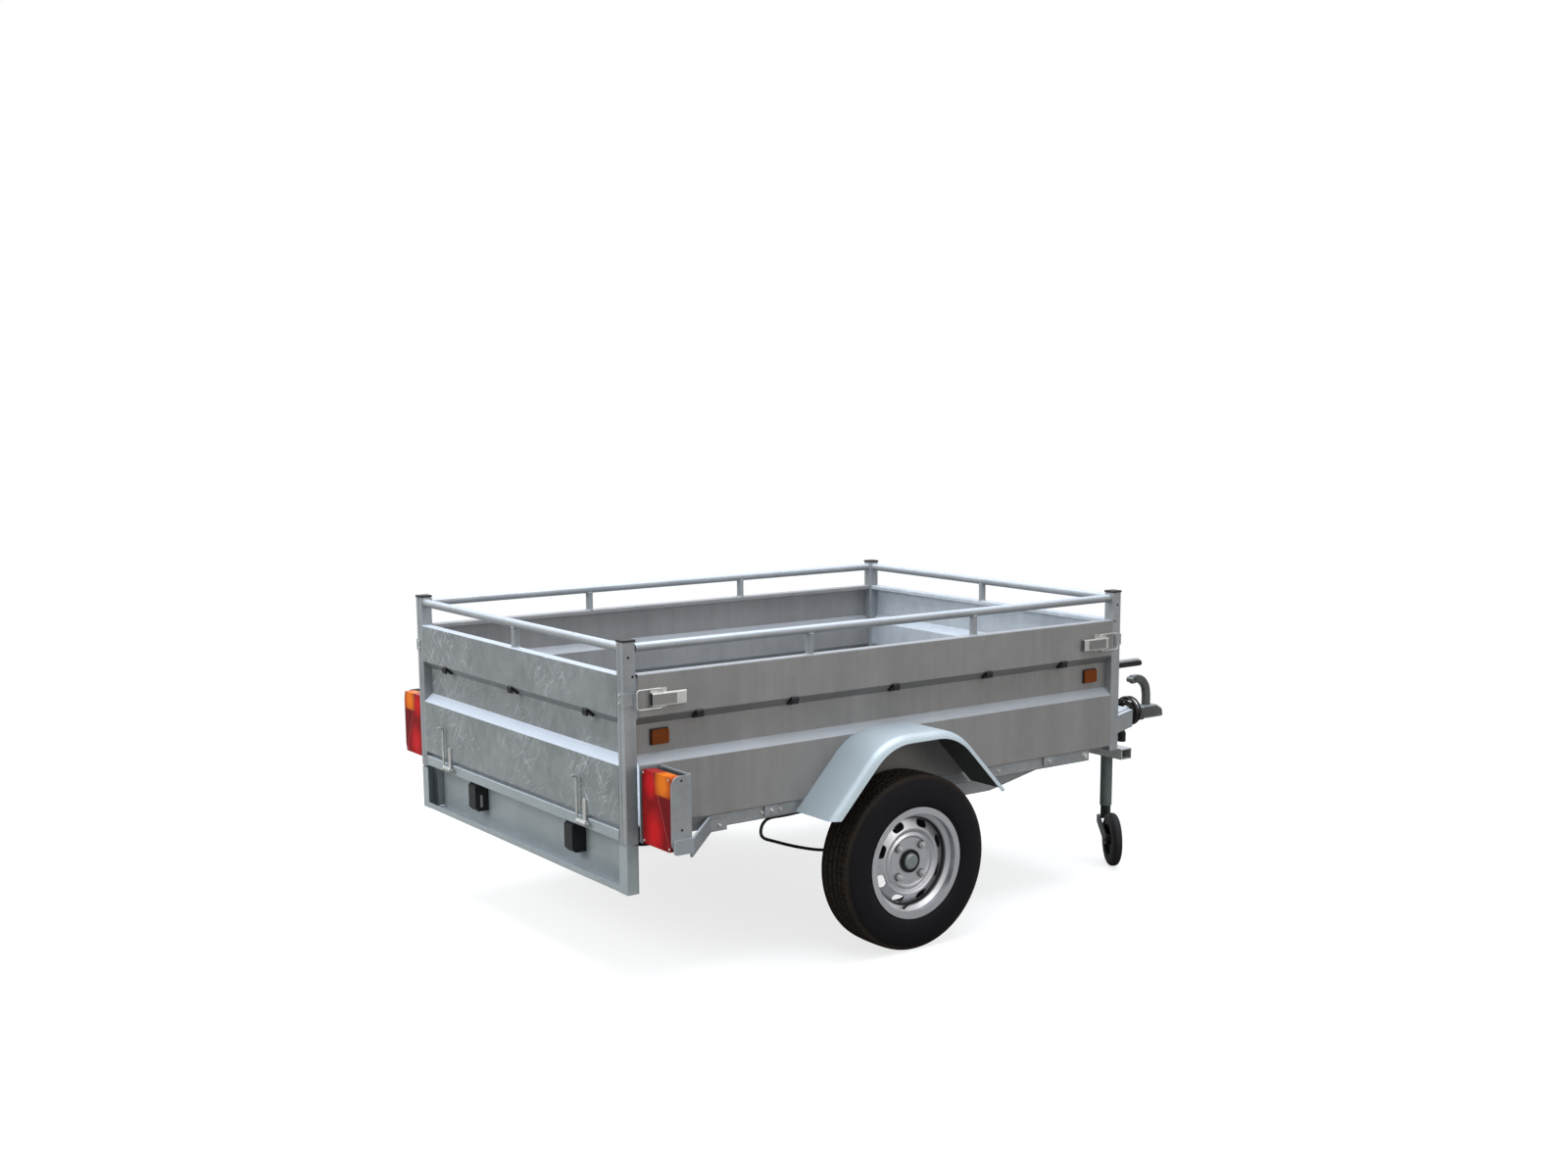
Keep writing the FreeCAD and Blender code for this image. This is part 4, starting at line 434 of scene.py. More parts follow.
caster_centre = spot(
    CASTER_STEM[0] - CASTER_TRAIL * math.sin(CASTER_HEADING),
    CASTER_STEM[1] + CASTER_TRAIL * math.cos(CASTER_HEADING), CASTER_UP)
caster_axis = Vector((math.cos(CASTER_HEADING), math.sin(CASTER_HEADING), 0))
caster_tyre = turned(
    "jockey_solid_tyre", CASTER_HALF + mirrored(CASTER_HALF), caster_centre, caster_axis, 96)
settle(caster_tyre, 24)
print("the small tyre has", len(caster_tyre.data.polygons), "faces")

# %% [markdown]
# ## The plug
#
# The lead ends in a round seven-pin trailer plug: a ribbed barrel, a gland nut and a soft sleeve
# that tapers along the cable, so that it can't kink where it leaves the plug. All of it is round, so
# one section is spun, and the grip is then pressed into every second face round the barrel.

# %% Spin the plug and press its grip
PLUG_PLACE = (36, 2717, 0)
PLUG_STEPS = 40
GRIP_LOW, GRIP_HIGH = 0.337, 0.355
GRIP_MARGIN, GRIP_DEEP = 0.0006, 0.0012
PLUG_SECTION = [
    (319, 0.2), (319, 13.5), (317.6, 13.8), (317.6, 15.6), (319.4, 17), (331, 17), (332, 16),
    (335, 16), (336, 17), (356, 16.6), (358.6, 14.6), (359.4, 12.2), (372.4, 11.6), (373.6, 8.4),
    (375, 7.2), (383.6, 6.8), (384.6, 5.8), (387.6, 5.8), (388.6, 6.4), (391.6, 5.4), (392.6, 5.0),
    (395.6, 5.6), (404, 4.4), (404.5, 0.2)]


def in_the_grip(polygon):
    """Whether a face is one of those pressed into the barrel."""
    middle = polygon.center
    step = round(math.atan2(middle.y, middle.x) / (2 * math.pi) * PLUG_STEPS - 0.5)
    return GRIP_LOW < middle.z < GRIP_HIGH and step % 2 == 0


plug = turned("seven_pin_plug", PLUG_SECTION, spot(*PLUG_PLACE), Vector((0, 0, 1)), PLUG_STEPS)
grips = choose_faces(plug, in_the_grip)
bpy.ops.mesh.inset(thickness=GRIP_MARGIN, depth=-GRIP_DEEP, use_individual=True)
leave_faces()
settle(plug, 35)
print("grip cuts in the plug:", grips)

# %% [markdown]
# ## Bolts
#
# The frame is bolted together, and the heads show all along its rails: small ones along the rails,
# one larger one near the front of each, and four through the plates behind the coupling. A head
# could be a bare six-sided cylinder, but it would look cut out of paper. Here it sits on a washer,
# its face is drawn in and its edges are bevelled, and then it is copied to every place.

# %% Hexagon bolts
REARWARD, UP, DOWN = (0, -1, 0), (0, 0, 1), (0, 0, -1)
RAIL_BOLTS = (
    (477, 480, 690), (546, 480, 690), (1441, 480, 690), (1669, 484, 698), (508, 484, 698),
    (322, 465, 693))
SMALL_BOLT, LARGE_BOLT = (0.0072, 0.006), (0.014, 0.009)
FRONT_BOLT = (690, 1844, 478)
PLATE_BOLT_OUT, PLATE_BOLTS = 34, (2630, 2680)
PLATE_TOP, PLATE_FOOT = 463, 385


def cylinder(sides, radius, high, middle):
    """A cylinder that stands upright, with its middle at a height."""
    put_down()
    bpy.ops.mesh.primitive_cylinder_add(
        vertices=sides, radius=radius, depth=high, location=(0, 0, middle))
    return bpy.context.object


def hexagon_bolt(name, across, high):
    """A six-sided head with a drawn-in face, on a round washer."""
    washer = cylinder(28, across, high * 0.3, high * 0.1)
    apply_modifier(washer, "BEVEL", width=high * 0.08, segments=2, limit_method="ANGLE")
    head = cylinder(6, across * 0.72, high, high * 0.6)
    choose_faces(head, lambda polygon: polygon.normal.z > 0.9)
    bpy.ops.mesh.inset(thickness=across * 0.1, depth=high * 0.10)
    leave_faces()
    apply_modifier(head, "BEVEL", width=across * 0.05, segments=2, limit_method="ANGLE")
    fix_place(washer)
    fix_place(head)
    return joined(name, [head, washer])


rail_places = [
    (spot(side * out, along, up), (side, 0, 0)) for side in SIDES for along, up, out in RAIL_BOLTS]
frame_bolts = stamped("frame_bolts", hexagon_bolt("bolt", *SMALL_BOLT), rail_places)
large_places = [(spot(side * FRONT_BOLT[0], *FRONT_BOLT[1:]), (side, 0, 0)) for side in SIDES]
for up, direction in ((PLATE_TOP, UP), (PLATE_FOOT, DOWN)):
    large_places += [
        (spot(side * PLATE_BOLT_OUT, along, up), direction) for side in SIDES for along in PLATE_BOLTS]
big_bolts = stamped("pivot_bolts", hexagon_bolt("bolt", *LARGE_BOLT), large_places)
print("bolts:", len(rail_places) + len(large_places))

# %% [markdown]
# ## Rivets and screws
#
# The catch of each latch is riveted to its gate, and each tail lamp's lens is held by four
# cross-head screws. A sphere would do for a rivet but wastes faces inside the sheet, so a short
# cylinder has its rim drawn in to a dome. The screw is the same dome with two thin bars cut out of
# it.

# %% Rivets and screws
RIVET = (0.0042, 0.003)
SCREW = (0.0036, 0.0026)
GATE_FACES = (0, 2000)
RIVET_OUT, RIVET_PROUD, RIVET_UPS = 679, 3, (866, 890)
SCREW_OUTS, SCREW_UPS, LENS_FACE = (752, 886), (478, 676), 28.5


def domed_rivet(name, radius, high):
    """A cylinder whose rim is drawn in to a dome."""
    piece = cylinder(20, radius, high, high / 2 - 0.0004)
    apply_modifier(piece, "BEVEL", width=high * 0.6, segments=4, limit_method="ANGLE")
    fix_place(piece)
    piece.name = name
    return piece


def cross_screw(name, radius, high):
    """A domed head with a cross pressed into it."""
    piece = domed_rivet(name, radius, high)
    for turn in (0, math.pi / 2):
        put_down()
        bpy.ops.mesh.primitive_cube_add(size=1, location=(0, 0, high), rotation=(0, 0, turn))
        bar = bpy.context.object
        bar.scale = (radius * 1.2, radius * 0.26, high * 0.9)
        apply_modifier(piece, "BOOLEAN", operation="DIFFERENCE", object=bar)
        bpy.data.objects.remove(bar)
    return piece


def latch_rivets(name, face, outward):
    """The rivets of one gate's two catches, on the gate's outer face."""
    places = [
        (spot(side * RIVET_OUT, face + outward * RIVET_PROUD, up), (0, outward, 0))
        for side in SIDES for up in RIVET_UPS]
    return stamped(name, domed_rivet("rivet", *RIVET), places)


gate_rivets = latch_rivets("tailgate_rivets", GATE_FACES[0], -1)
front_rivets = latch_rivets("front_rivets", GATE_FACES[1], 1)
screw_places = [
    (spot(side * across, LENS_FACE, up), REARWARD)
    for side in SIDES for across in SCREW_OUTS for up in SCREW_UPS]
lamp_screws = stamped("lamp_screws", cross_screw("screw", *SCREW), screw_places)
print("rivets:", 2 * len(SIDES) * len(RIVET_UPS), "and lamp screws:", len(screw_places))

# %% [markdown]
# ## Wheel bolts
#
# Four bolts hold each wheel, on a circle round the hub's cap. The CAD node already has their plain
# round heads. A six-sided face with its washer is set on each, from the same model as the frame's
# bolts, and it turns with its wheel.

# %% Set the wheel bolts
BOLT_CIRCLE = 65
BOLT_STEP = BOLT_CIRCLE / math.sqrt(2) / MILLIMETRES
BOLT_FACE = 40.5
WHEEL_BOLT = (0.0112, 0.007)

wheel_bolts = {}
for side, name in zip(SIDES, ("wheel_bolts_right", "wheel_bolts_left")):
    places = []
    for ahead, above in ((1, 1), (1, -1), (-1, -1), (-1, 1)):
        along = TYRE_CENTRE[1] + ahead * BOLT_STEP * MILLIMETRES
        up = TYRE_CENTRE[2] + above * BOLT_STEP * MILLIMETRES
        places.append((spot(side * (TYRE_CENTRE[0] + BOLT_FACE), along, up), (side, 0, 0)))
    wheel_bolts[name] = stamped(name, hexagon_bolt("bolt", *WHEEL_BOLT), places)
print("wheel bolts:", len(places), "on each of", len(wheel_bolts), "wheels")

# %% [markdown]
# ## Welds
#
# Where a round rail meets its post, or a stanchion its rail, the welder left a small rough ring. A
# bump in the finish wouldn't break the outline, so a torus is added there, and its points are shaken
# a little so that no two places are alike.

# %% Lay the weld rings
RAIL_UP, RAIL_UNDER, PANEL_TOP = 1023, 1010.5, 948.5
RAIL_RADIUS, POST_RADIUS = 0.0138, 0.0128
BEAD_RADIUS, BEAD_SHAKE = 0.0019, 0.0007


def weld_ring(name, place, direction, radius, seed):
    """A rough bead round a tube."""
    put_down()
    bpy.ops.mesh.primitive_torus_add(
        major_segments=36, minor_segments=8, major_radius=radius, minor_radius=BEAD_RADIUS)
    piece = bpy.context.object
    bpy.ops.object.mode_set(mode="EDIT")
    bpy.ops.mesh.select_all(action="SELECT")
    bpy.ops.transform.vertex_random(offset=BEAD_SHAKE, seed=seed)
    bpy.ops.object.mode_set(mode="OBJECT")
    piece.name = name
    piece.rotation_euler = Vector(direction).to_track_quat("Z", "Y").to_euler()
    piece.location = place
    return piece


def stanchion_rings(across, along):
    """The two rings of a stanchion, on the panel's top and under the rail."""
    return [(spot(across, along, up), UP, POST_RADIUS) for up in (PANEL_TOP, RAIL_UNDER)]


weld_groups = {}
for name, middle in (("tailgate_welds", 20), ("front_welds", 1980)):
    weld_groups[name] = [
        (spot(side * 659.5, middle, RAIL_UP), (1, 0, 0), RAIL_RADIUS) for side in SIDES]
    weld_groups[name] += stanchion_rings(0, middle)
for name, side in (("right_rail_welds", 1), ("left_rail_welds", -1)):
    weld_groups[name] = stanchion_rings(side * 680, 667) + stanchion_rings(side * 680, 1333)
welds = {}
for group, (name, rings) in enumerate(weld_groups.items()):
    beads = [weld_ring(name, *ring, seed=7 * group + number + 1) for number, ring in enumerate(rings)]
    welds[name] = settle(joined(name, beads), 60)
print("weld rings:", sum(len(rings) for rings in weld_groups.values()))

# %% [markdown]
# ## Marker bases and plate lamps
#
# The side markers sit on dark bases, and each number-plate lamp has a clear window on the side that
# faces the plate and a seam round its case. All of these are small moulded blocks, so a cube is
# scaled and its edges are rounded, which is quicker than drawing and extruding each outline.

# %% Small moulded blocks
PLATE_LAMP_OUT = 331


def rounded_block(name, place, size, round_width):
    """A box in millimetres with its edges rounded."""
    put_down()
    bpy.ops.mesh.primitive_cube_add(size=1, location=place)
    piece = bpy.context.object
    piece.name = name
    piece.scale = Vector(size) / MILLIMETRES
    bpy.ops.object.transform_apply(location=False, rotation=False, scale=True)
    width = round_width / MILLIMETRES
    apply_modifier(piece, "BEVEL", width=width, segments=3, limit_method="ANGLE")
    return piece


def blocks(name, places, size, round_width):
    """Equal blocks as one piece."""
    return settle(joined(name, [rounded_block("block", place, size, round_width) for place in places]))


marker_bases = blocks(
    "marker_bases", [spot(side * 672, along, 756) for side in SIDES for along in (131, 1879)],
    (4.6, 62, 49), 2)
plate_windows = blocks(
    "plate_lamp_windows", [spot(side * (PLATE_LAMP_OUT - 25.4), 32, 392) for side in SIDES],
    (2.4, 9, 42), 1)
plate_seams = blocks(
    "plate_lamp_seams", [spot(side * PLATE_LAMP_OUT, 22, 430) for side in SIDES], (51.6, 22, 2.2), 0.8)
print("block pieces:", [piece.name for piece in (marker_bases, plate_windows, plate_seams)])

# %% [markdown]
# ## Ends of the apron
#
# The rear apron is a folded sheet with a column at each end. With nothing between the two, daylight
# would show behind the column. The web that closes it is a flat strip of sheet, so a thin block with
# barely rounded edges is enough.

# %% Close the ends of the apron
apron_webs = blocks("apron_end_webs", [spot(side * 659, 49, 399) for side in SIDES], (2, 22, 182), 0.7)
print("the webs are", round(apron_webs.dimensions.z * MILLIMETRES), "mm high")

# %% [markdown]
# ## Tyre valves
#
# A rubber stem with a cap pokes out through each wheel and leans outwards. It is a small round thing
# of changing width, and stacking cylinders would leave steps, so its section is spun and then leaned
# over.

# %% Spin the valves
VALVE_SECTION = [
    (0, 0.2), (0, 5.6), (3, 5.6), (5, 4.0), (20, 3.2), (22, 2.8), (27, 2.8), (27.6, 2.2), (27.6, 0.2)]
VALVE_OUT, VALVE_BACK, VALVE_BELOW = 38, 30, 147

valves = {}
for side, name in zip(SIDES, ("valve_right", "valve_left")):
    lean = Vector((side * 0.80, 0.12, 0.58)).normalized()
    stem = turned(name, VALVE_SECTION, (0, 0, 0), Vector((0, 0, 1)), 20)
    stem.rotation_euler = lean.to_track_quat("Z", "Y").to_euler()
    stem.location = spot(
        side * (TYRE_CENTRE[0] + VALVE_OUT), TYRE_CENTRE[1] - VALVE_BACK, TYRE_CENTRE[2] - VALVE_BELOW)
    valves[name] = settle(stem, 40)
print("valves:", list(valves))

# %% [markdown]
# ## Recipes of nodes
#
# The sky, the floor and every finish are node trees. In the editor one drags wires by hand. In a
# script the same thing is a line per node, and it stays readable only if the common steps have
# names: wire two sockets, do a sum, make a slope, measure a distance, mix.

# %% Helpers for nodes


def add_node(owner, kind, **settings):
    """A node in the tree of a material or of the sky."""
    node = owner.node_tree.nodes.new(kind)
    for name, setting in settings.items():
        setattr(node, name, setting)
    return node


def join(owner, source, target):
    """A wire from an output to an input."""
    owner.node_tree.links.new(source, target)


def feed(owner, socket, source):
    """Gives a socket a number, a colour or a wire."""
    if isinstance(source, (int, float)):
        socket.default_value = source
    elif isinstance(source, tuple):
        socket.default_value = (*source, 1)
    else:
        join(owner, source, socket)


def sum_of(owner, kind, first, second=0.0, third=0.0):
    """One arithmetic step on numbers or sockets."""
    node = add_node(owner, "ShaderNodeMath", operation=kind)
    for socket, source in zip(node.inputs, (first, second, third)):
        feed(owner, socket, source)
    return node.outputs[0]


def times(owner, first, second):
    """A product."""
    return sum_of(owner, "MULTIPLY", first, second)


def less(owner, first, second):
    """A difference."""
    return sum_of(owner, "SUBTRACT", first, second)


def off_from(owner, number, middle):
    """How far a number is from a middle value, on either side."""
    return sum_of(owner, "ABSOLUTE", less(owner, number, middle))


def distance(owner, first, second):
    """The distance that two steps at right angles make."""
    squares = sum_of(owner, "ADD", times(owner, first, first), times(owner, second, second))
    return sum_of(owner, "SQRT", squares)


def step_up(owner, number, start, end):
    """0 below start, 1 above end, and a straight slope between them."""
    node = add_node(owner, "ShaderNodeMapRange")
    node.inputs["From Min"].default_value = start
    node.inputs["From Max"].default_value = end
    join(owner, number, node.inputs["Value"])
    return node.outputs[0]


def step_down(owner, number, start, end):
    """1 below start, 0 above end."""
    return less(owner, 1.0, step_up(owner, number, start, end))


def ramp(owner, factor, *stops):
    """A colour ramp of (position, grey or colour) stops."""
    node = add_node(owner, "ShaderNodeValToRGB")
    elements = node.color_ramp.elements
    while len(elements) < len(stops):
        elements.new(0.5)
    for element, (position, colour) in zip(elements, stops):
        if isinstance(colour, (int, float)):
            colour = (colour, colour, colour)
        element.position = position
        element.color = (*colour, 1)
    join(owner, factor, node.inputs["Fac"])
    return node.outputs["Color"]


def parts_of(owner, output):
    """The X, Y and Z of one of Texture Coordinate's outputs."""
    place = add_node(owner, "ShaderNodeTexCoord")
    parts = add_node(owner, "ShaderNodeSeparateXYZ")
    join(owner, place.outputs[output], parts.inputs[0])
    return parts.outputs


def surface(owner, kind, **settings):
    """A shader of one kind with its sockets set."""
    node = add_node(owner, kind)
    for name, setting in settings.items():
        feed(owner, node.inputs[name], setting)
    return node.outputs[0]


def mixed(owner, factor, first, second):
    """Two shaders mixed by a factor."""
    node = add_node(owner, "ShaderNodeMixShader")
    for socket, source in zip(node.inputs, (factor, first, second)):
        join(owner, source, socket)
    return node.outputs[0]


print("materials so far:", len(bpy.data.materials))

# %% [markdown]
# ## Light and sky
#
# The trailer was photographed in soft light, as under an overcast sky: most of it from above, some
# from behind the tailgate, and pale blue on every surface that faces up. One white world would
# light it evenly and flatly. So a big soft lamp hangs overhead with weaker ones behind and at the
# side, the world's light fades from pale blue above to dark below, and what the camera and the
# metal see of it is plain white.

# %% Set the studio
bpy.context.scene.view_settings.view_transform = "Standard"


def area_lamp(name, place, target, size, watts, colour):
    """A square lamp that looks at a point."""
    put_down()
    bpy.ops.object.light_add(type="AREA", location=place)
    lamp = bpy.context.object
    lamp.name = name
    lamp.rotation_euler = (Vector(target) - Vector(place)).to_track_quat("-Z", "Y").to_euler()
    lamp.data.size = size
    lamp.data.energy = watts
    lamp.data.color = colour
    return lamp


def white_world():
    """A sky that is pale blue above and dark below for the light, and plain white for what shows."""
    world = bpy.data.worlds.new("white_studio")
    world.use_nodes = True
    bpy.context.scene.world = world
    world.node_tree.nodes.clear()
    rays = add_node(world, "ShaderNodeLightPath").outputs
    seen = sum_of(world, "MAXIMUM", rays["Is Camera Ray"], rays["Is Transmission Ray"])
    shown = sum_of(world, "MAXIMUM", seen, rays["Is Glossy Ray"])
    height = step_up(world, parts_of(world, "Generated")["Z"], -0.25, 0.75)
    sky = ramp(world, height, (0.0, (0.06, 0.065, 0.07)), (0.34, (0.30, 0.30, 0.29)),
               (1.0, (0.84, 0.93, 1.0)))
    soft = surface(world, "ShaderNodeBackground", Color=sky, Strength=0.85)
    plain = surface(world, "ShaderNodeBackground", Color=(1, 1, 1), Strength=1.0)
    out = add_node(world, "ShaderNodeOutputWorld")
    join(world, mixed(world, shown, soft, plain), out.inputs["Surface"])


area_lamp("sky_lamp", (0.0, -0.5, 6.5), (0, 0, 0.5), 6.0, 560, (0.90, 0.95, 1.0))
area_lamp("rear_lamp", (-1.5, -6.0, 3.2), (0, -0.5, 0.6), 3.0, 170, (0.97, 0.99, 1.0))
area_lamp("side_lamp", (7.0, 1.5, 2.6), (0, 0, 0.6), 3.0, 90, (1.0, 0.96, 0.92))
white_world()

# %% [markdown]
# ## Floor
#
# The trailer stands on a white floor that keeps a faint shadow. A floor that is white for all light
# would throw much of it up under the trailer and wash out the dark underside. So the camera sees
# white with the shadow, while for all other light the floor is mid grey. Away from the trailer it
# fades to the plain white of the backdrop.

# %% Lay the floor
FLOOR_SIZE = 60
SHADOW_REACH, SHADOW_END = 1.9, 3.4

put_down()
bpy.ops.mesh.primitive_plane_add(size=FLOOR_SIZE, location=(0, 0, 0))
floor = bpy.context.object
floor.name = "studio_floor"


def floor_paint():
    """White with a faint shadow for the camera, and mid grey for the light that it throws back."""
    paint = bpy.data.materials.new("floor_paint")
    paint.use_nodes = True
    paint.node_tree.nodes.clear()
    card = surface(paint, "ShaderNodeBsdfDiffuse", Color=(0.32, 0.31, 0.30))
    near = add_node(paint, "ShaderNodeAddShader")
    join(paint, surface(paint, "ShaderNodeBsdfDiffuse", Color=(0.34, 0.34, 0.34)), near.inputs[0])
    join(paint, surface(paint, "ShaderNodeEmission", Strength=0.76), near.inputs[1])
    plain = surface(paint, "ShaderNodeEmission", Strength=1.0)
    place = add_node(paint, "ShaderNodeTexCoord")
    length = add_node(paint, "ShaderNodeVectorMath", operation="LENGTH")
    join(paint, place.outputs["Object"], length.inputs[0])
    fade = step_up(paint, length.outputs["Value"], SHADOW_REACH, SHADOW_END)
    seen = mixed(paint, fade, near.outputs[0], plain)
    rays = add_node(paint, "ShaderNodeLightPath")
    out = add_node(paint, "ShaderNodeOutputMaterial")
    join(paint, mixed(paint, rays.outputs["Is Camera Ray"], card, seen), out.inputs["Surface"])
    return paint


floor.data.materials.append(floor_paint())
print("the floor is", FLOOR_SIZE, "m wide, and the shadow ends at", SHADOW_END, "m")

# %% [markdown]
# ## Finishes
#
# A picture of zinc could be wrapped round each sheet, but it would stretch at the folds and need a
# file. Every finish here is a small recipe of noise on Object coordinates instead, so a pattern
# keeps its real scale and doesn't slide when a part moves.

# %% Helpers for finishes


def new_finish(name, metallic=0.0, roughness=0.5, shine=0.3):
    """A material with its shader."""
    material = bpy.data.materials.new(name)
    material.use_nodes = True
    shader = material.node_tree.nodes["Principled BSDF"]
    shader.inputs["Metallic"].default_value = metallic
    shader.inputs["Roughness"].default_value = roughness
    shader.inputs["Specular IOR Level"].default_value = shine
    return material, shader


def stretched(material, scale=(1, 1, 1), turn=(0, 0, 0)):
    """Object coordinates, turned first and then stretched by a scale along each axis."""
    place = add_node(material, "ShaderNodeTexCoord")
    mapping = add_node(material, "ShaderNodeMapping", vector_type="TEXTURE")
    mapping.inputs["Scale"].default_value = [1 / share for share in scale]
    mapping.inputs["Rotation"].default_value = [math.radians(angle) for angle in turn]
    join(material, place.outputs["Object"], mapping.inputs["Vector"])
    return mapping.outputs["Vector"]


def noise(material, scale, detail=4.0, vector=None, roughness=0.5):
    """Noise from 0 to 1 on Object coordinates."""
    node = add_node(material, "ShaderNodeTexNoise")
    node.inputs["Scale"].default_value = scale
    node.inputs["Detail"].default_value = detail
    node.inputs["Roughness"].default_value = roughness
    join(material, vector or stretched(material), node.inputs["Vector"])
    return node.outputs["Fac"]


def blend_colour(material, factor, first, second, mode="MIX"):
    """Two colours mixed by a factor, a number or a socket."""
    node = add_node(material, "ShaderNodeMix", data_type="RGBA", blend_type=mode)
    for index, source in ((0, factor), (6, first), (7, second)):
        feed(material, node.inputs[index], source)
    return node.outputs[2]


def colour_it(material, shader, colour):
    """Wires a colour to the shader."""
    join(material, colour, shader.inputs["Base Color"])


def roughen(material, shader, height, strength, deep):
    """A small bump from a height pattern."""
    bump = add_node(material, "ShaderNodeBump")
    bump.inputs["Strength"].default_value = strength
    bump.inputs["Distance"].default_value = deep
    join(material, height, bump.inputs["Height"])
    join(material, bump.outputs["Normal"], shader.inputs["Normal"])


print("materials before the finishes:", len(bpy.data.materials))

# %% [markdown]
# ## Galvanised sheet
#
# Hot zinc freezes on the steel in faint crystals, and weather then clouds it in drawn-out streaks on
# folded sheets. Over that, the sky's pale blue reflection is painted on what faces up, and shade is
# painted on what faces down. A single grey would look like plastic. One recipe layers these in the
# order in which they come, and its numbers set how much of each a sheet has. The tailgate also has
# scratches, each a thin line of stretched noise.

# %% Galvanised sheet
# Painted light: a pale blue for the sky's reflection on what faces up, and a near black for painted shade
# on what faces down.
PAINTED_SKY_SHEEN = (0.62, 0.68, 0.78)
PAINTED_UNDER_SHADE = (0.03, 0.028, 0.025)
SCRATCHES = ((34, 9.0), (-40, 12.0), (62, 16.0))


def scratched(material, sheet, light, strength):
    """Patches of bright fine lines at a few slants."""
    bright = tuple(min(1.0, 1.9 * channel) for channel in light)
    patch = ramp(material, noise(material, 3.2, 3.0), (0.44, 0.12), (0.62, 1.0))
    for lean, length in SCRATCHES:
        drawn = stretched(material, (190.0, 30.0, length), (0, lean, 0))
        lines = ramp(material, noise(material, 1.0, 2.0, drawn, 0.6), (0.60, 0.0), (0.70, 1.0))
        scored = times(material, times(material, lines, patch), strength)
        sheet = blend_colour(material, scored, sheet, bright)
    return sheet


def paint_sky_sheen_and_shade(material, sheet, sky_sheen, darkening):
    """A painted sky reflection in pale blue on what faces up at rest, and painted shade on what faces down.
    """
    upright = parts_of(material, "Normal")["Z"]
    above = times(material, step_up(material, upright, 0.35, 0.65), sky_sheen)
    sheet = blend_colour(material, above, sheet, PAINTED_SKY_SHEEN)
    below = times(material, step_up(material, times(material, upright, -1.0), 0.15, 0.6), darkening)
    return blend_colour(material, below, sheet, PAINTED_UNDER_SHADE)


def galvanised(name, dark, light, streak=(1, 1, 1), crystals=0.15, scratches=0.0, metallic=0.25,
               sky_sheen=0.5, darkening=0.35):
    """Zinc sheet: clouds and streaks, then crystals, scratches, a painted sky reflection and painted shade.
    """
    material, shader = new_finish(name, metallic, 0.45)
    clouds = noise(material, 6.0, 5.0, stretched(material, streak), 0.6)
    fine = noise(material, 95.0, 4.0, stretched(material, streak), 0.55)
    cloudy = ramp(material, clouds, (0.32, dark), (0.68, light))
    grained = blend_colour(material, 0.35, cloudy, ramp(material, fine, (0.3, dark), (0.7, light)))
    cells = add_node(material, "ShaderNodeTexVoronoi", feature="SMOOTH_F1")
    cells.inputs["Scale"].default_value = 32
    cells.inputs["Smoothness"].default_value = 0.8
    join(material, stretched(material, (1, 1, 0.8), (0, 0, 20)), cells.inputs["Vector"])
    level = add_node(material, "ShaderNodeRGBToBW")
    join(material, cells.outputs["Color"], level.inputs[0])
    sheet = blend_colour(material, crystals, grained, level.outputs[0], "SOFT_LIGHT")
    if scratches:
        sheet = scratched(material, sheet, light, scratches)
    # Painted sky reflection on what faces up, and painted shade on what faces down.
    if sky_sheen:
        sheet = paint_sky_sheen_and_shade(material, sheet, sky_sheen, darkening)
    colour_it(material, shader, sheet)
    join(material, ramp(material, fine, (0.3, 0.36), (0.75, 0.54)), shader.inputs["Roughness"])
    roughen(material, shader, fine, 0.04, 0.002)
    return material


zinc_side = galvanised("zinc_side_sheet", (0.222, 0.216, 0.212), (0.30, 0.287, 0.280),
                       streak=(1, 1, 0.05), crystals=0.06, sky_sheen=0.33)
zinc_gate = galvanised("zinc_gate_sheet", (0.188, 0.20, 0.203), (0.275, 0.29, 0.295),
                       crystals=0.18, scratches=0.7, sky_sheen=0.9)
zinc_frame = galvanised("zinc_frame_steel", (0.25, 0.26, 0.268), (0.35, 0.36, 0.37), crystals=0.08)
zinc_floor = galvanised("zinc_floor_sheet", (0.24, 0.28, 0.32), (0.34, 0.39, 0.44))
# The mudguard's downward faces get 0.92 of the near black: painted shade under the guard.
zinc_guard = galvanised("zinc_mudguard_sheet", (0.40, 0.46, 0.49), (0.45, 0.51, 0.54),
                        crystals=0.0, sky_sheen=0.1, darkening=0.92)
zinc_apron = galvanised("zinc_apron_sheet", (0.295, 0.33, 0.338), (0.37, 0.405, 0.415),
                        crystals=0.04, sky_sheen=0.4)
# Painted light: the front panel is given a lighter zinc than the other sheets, for the brighter light on
# its inside.
painted_light_front_zinc = galvanised("zinc_front_painted_light", (0.42, 0.45, 0.48), (0.56, 0.59, 0.62), metallic=0.3)
print("the tailgate's zinc takes", len(zinc_gate.node_tree.nodes), "nodes")

# %% [markdown]
# ## Zinc on small parts
#
# Hinges, pins and clamps are plated bright, the coupling is cast and dark, and the axle and the
# jockey leg are dull. They are too small for crystals to show, so the same recipe runs with the
# crystals turned down, and only tone and gloss tell them apart.

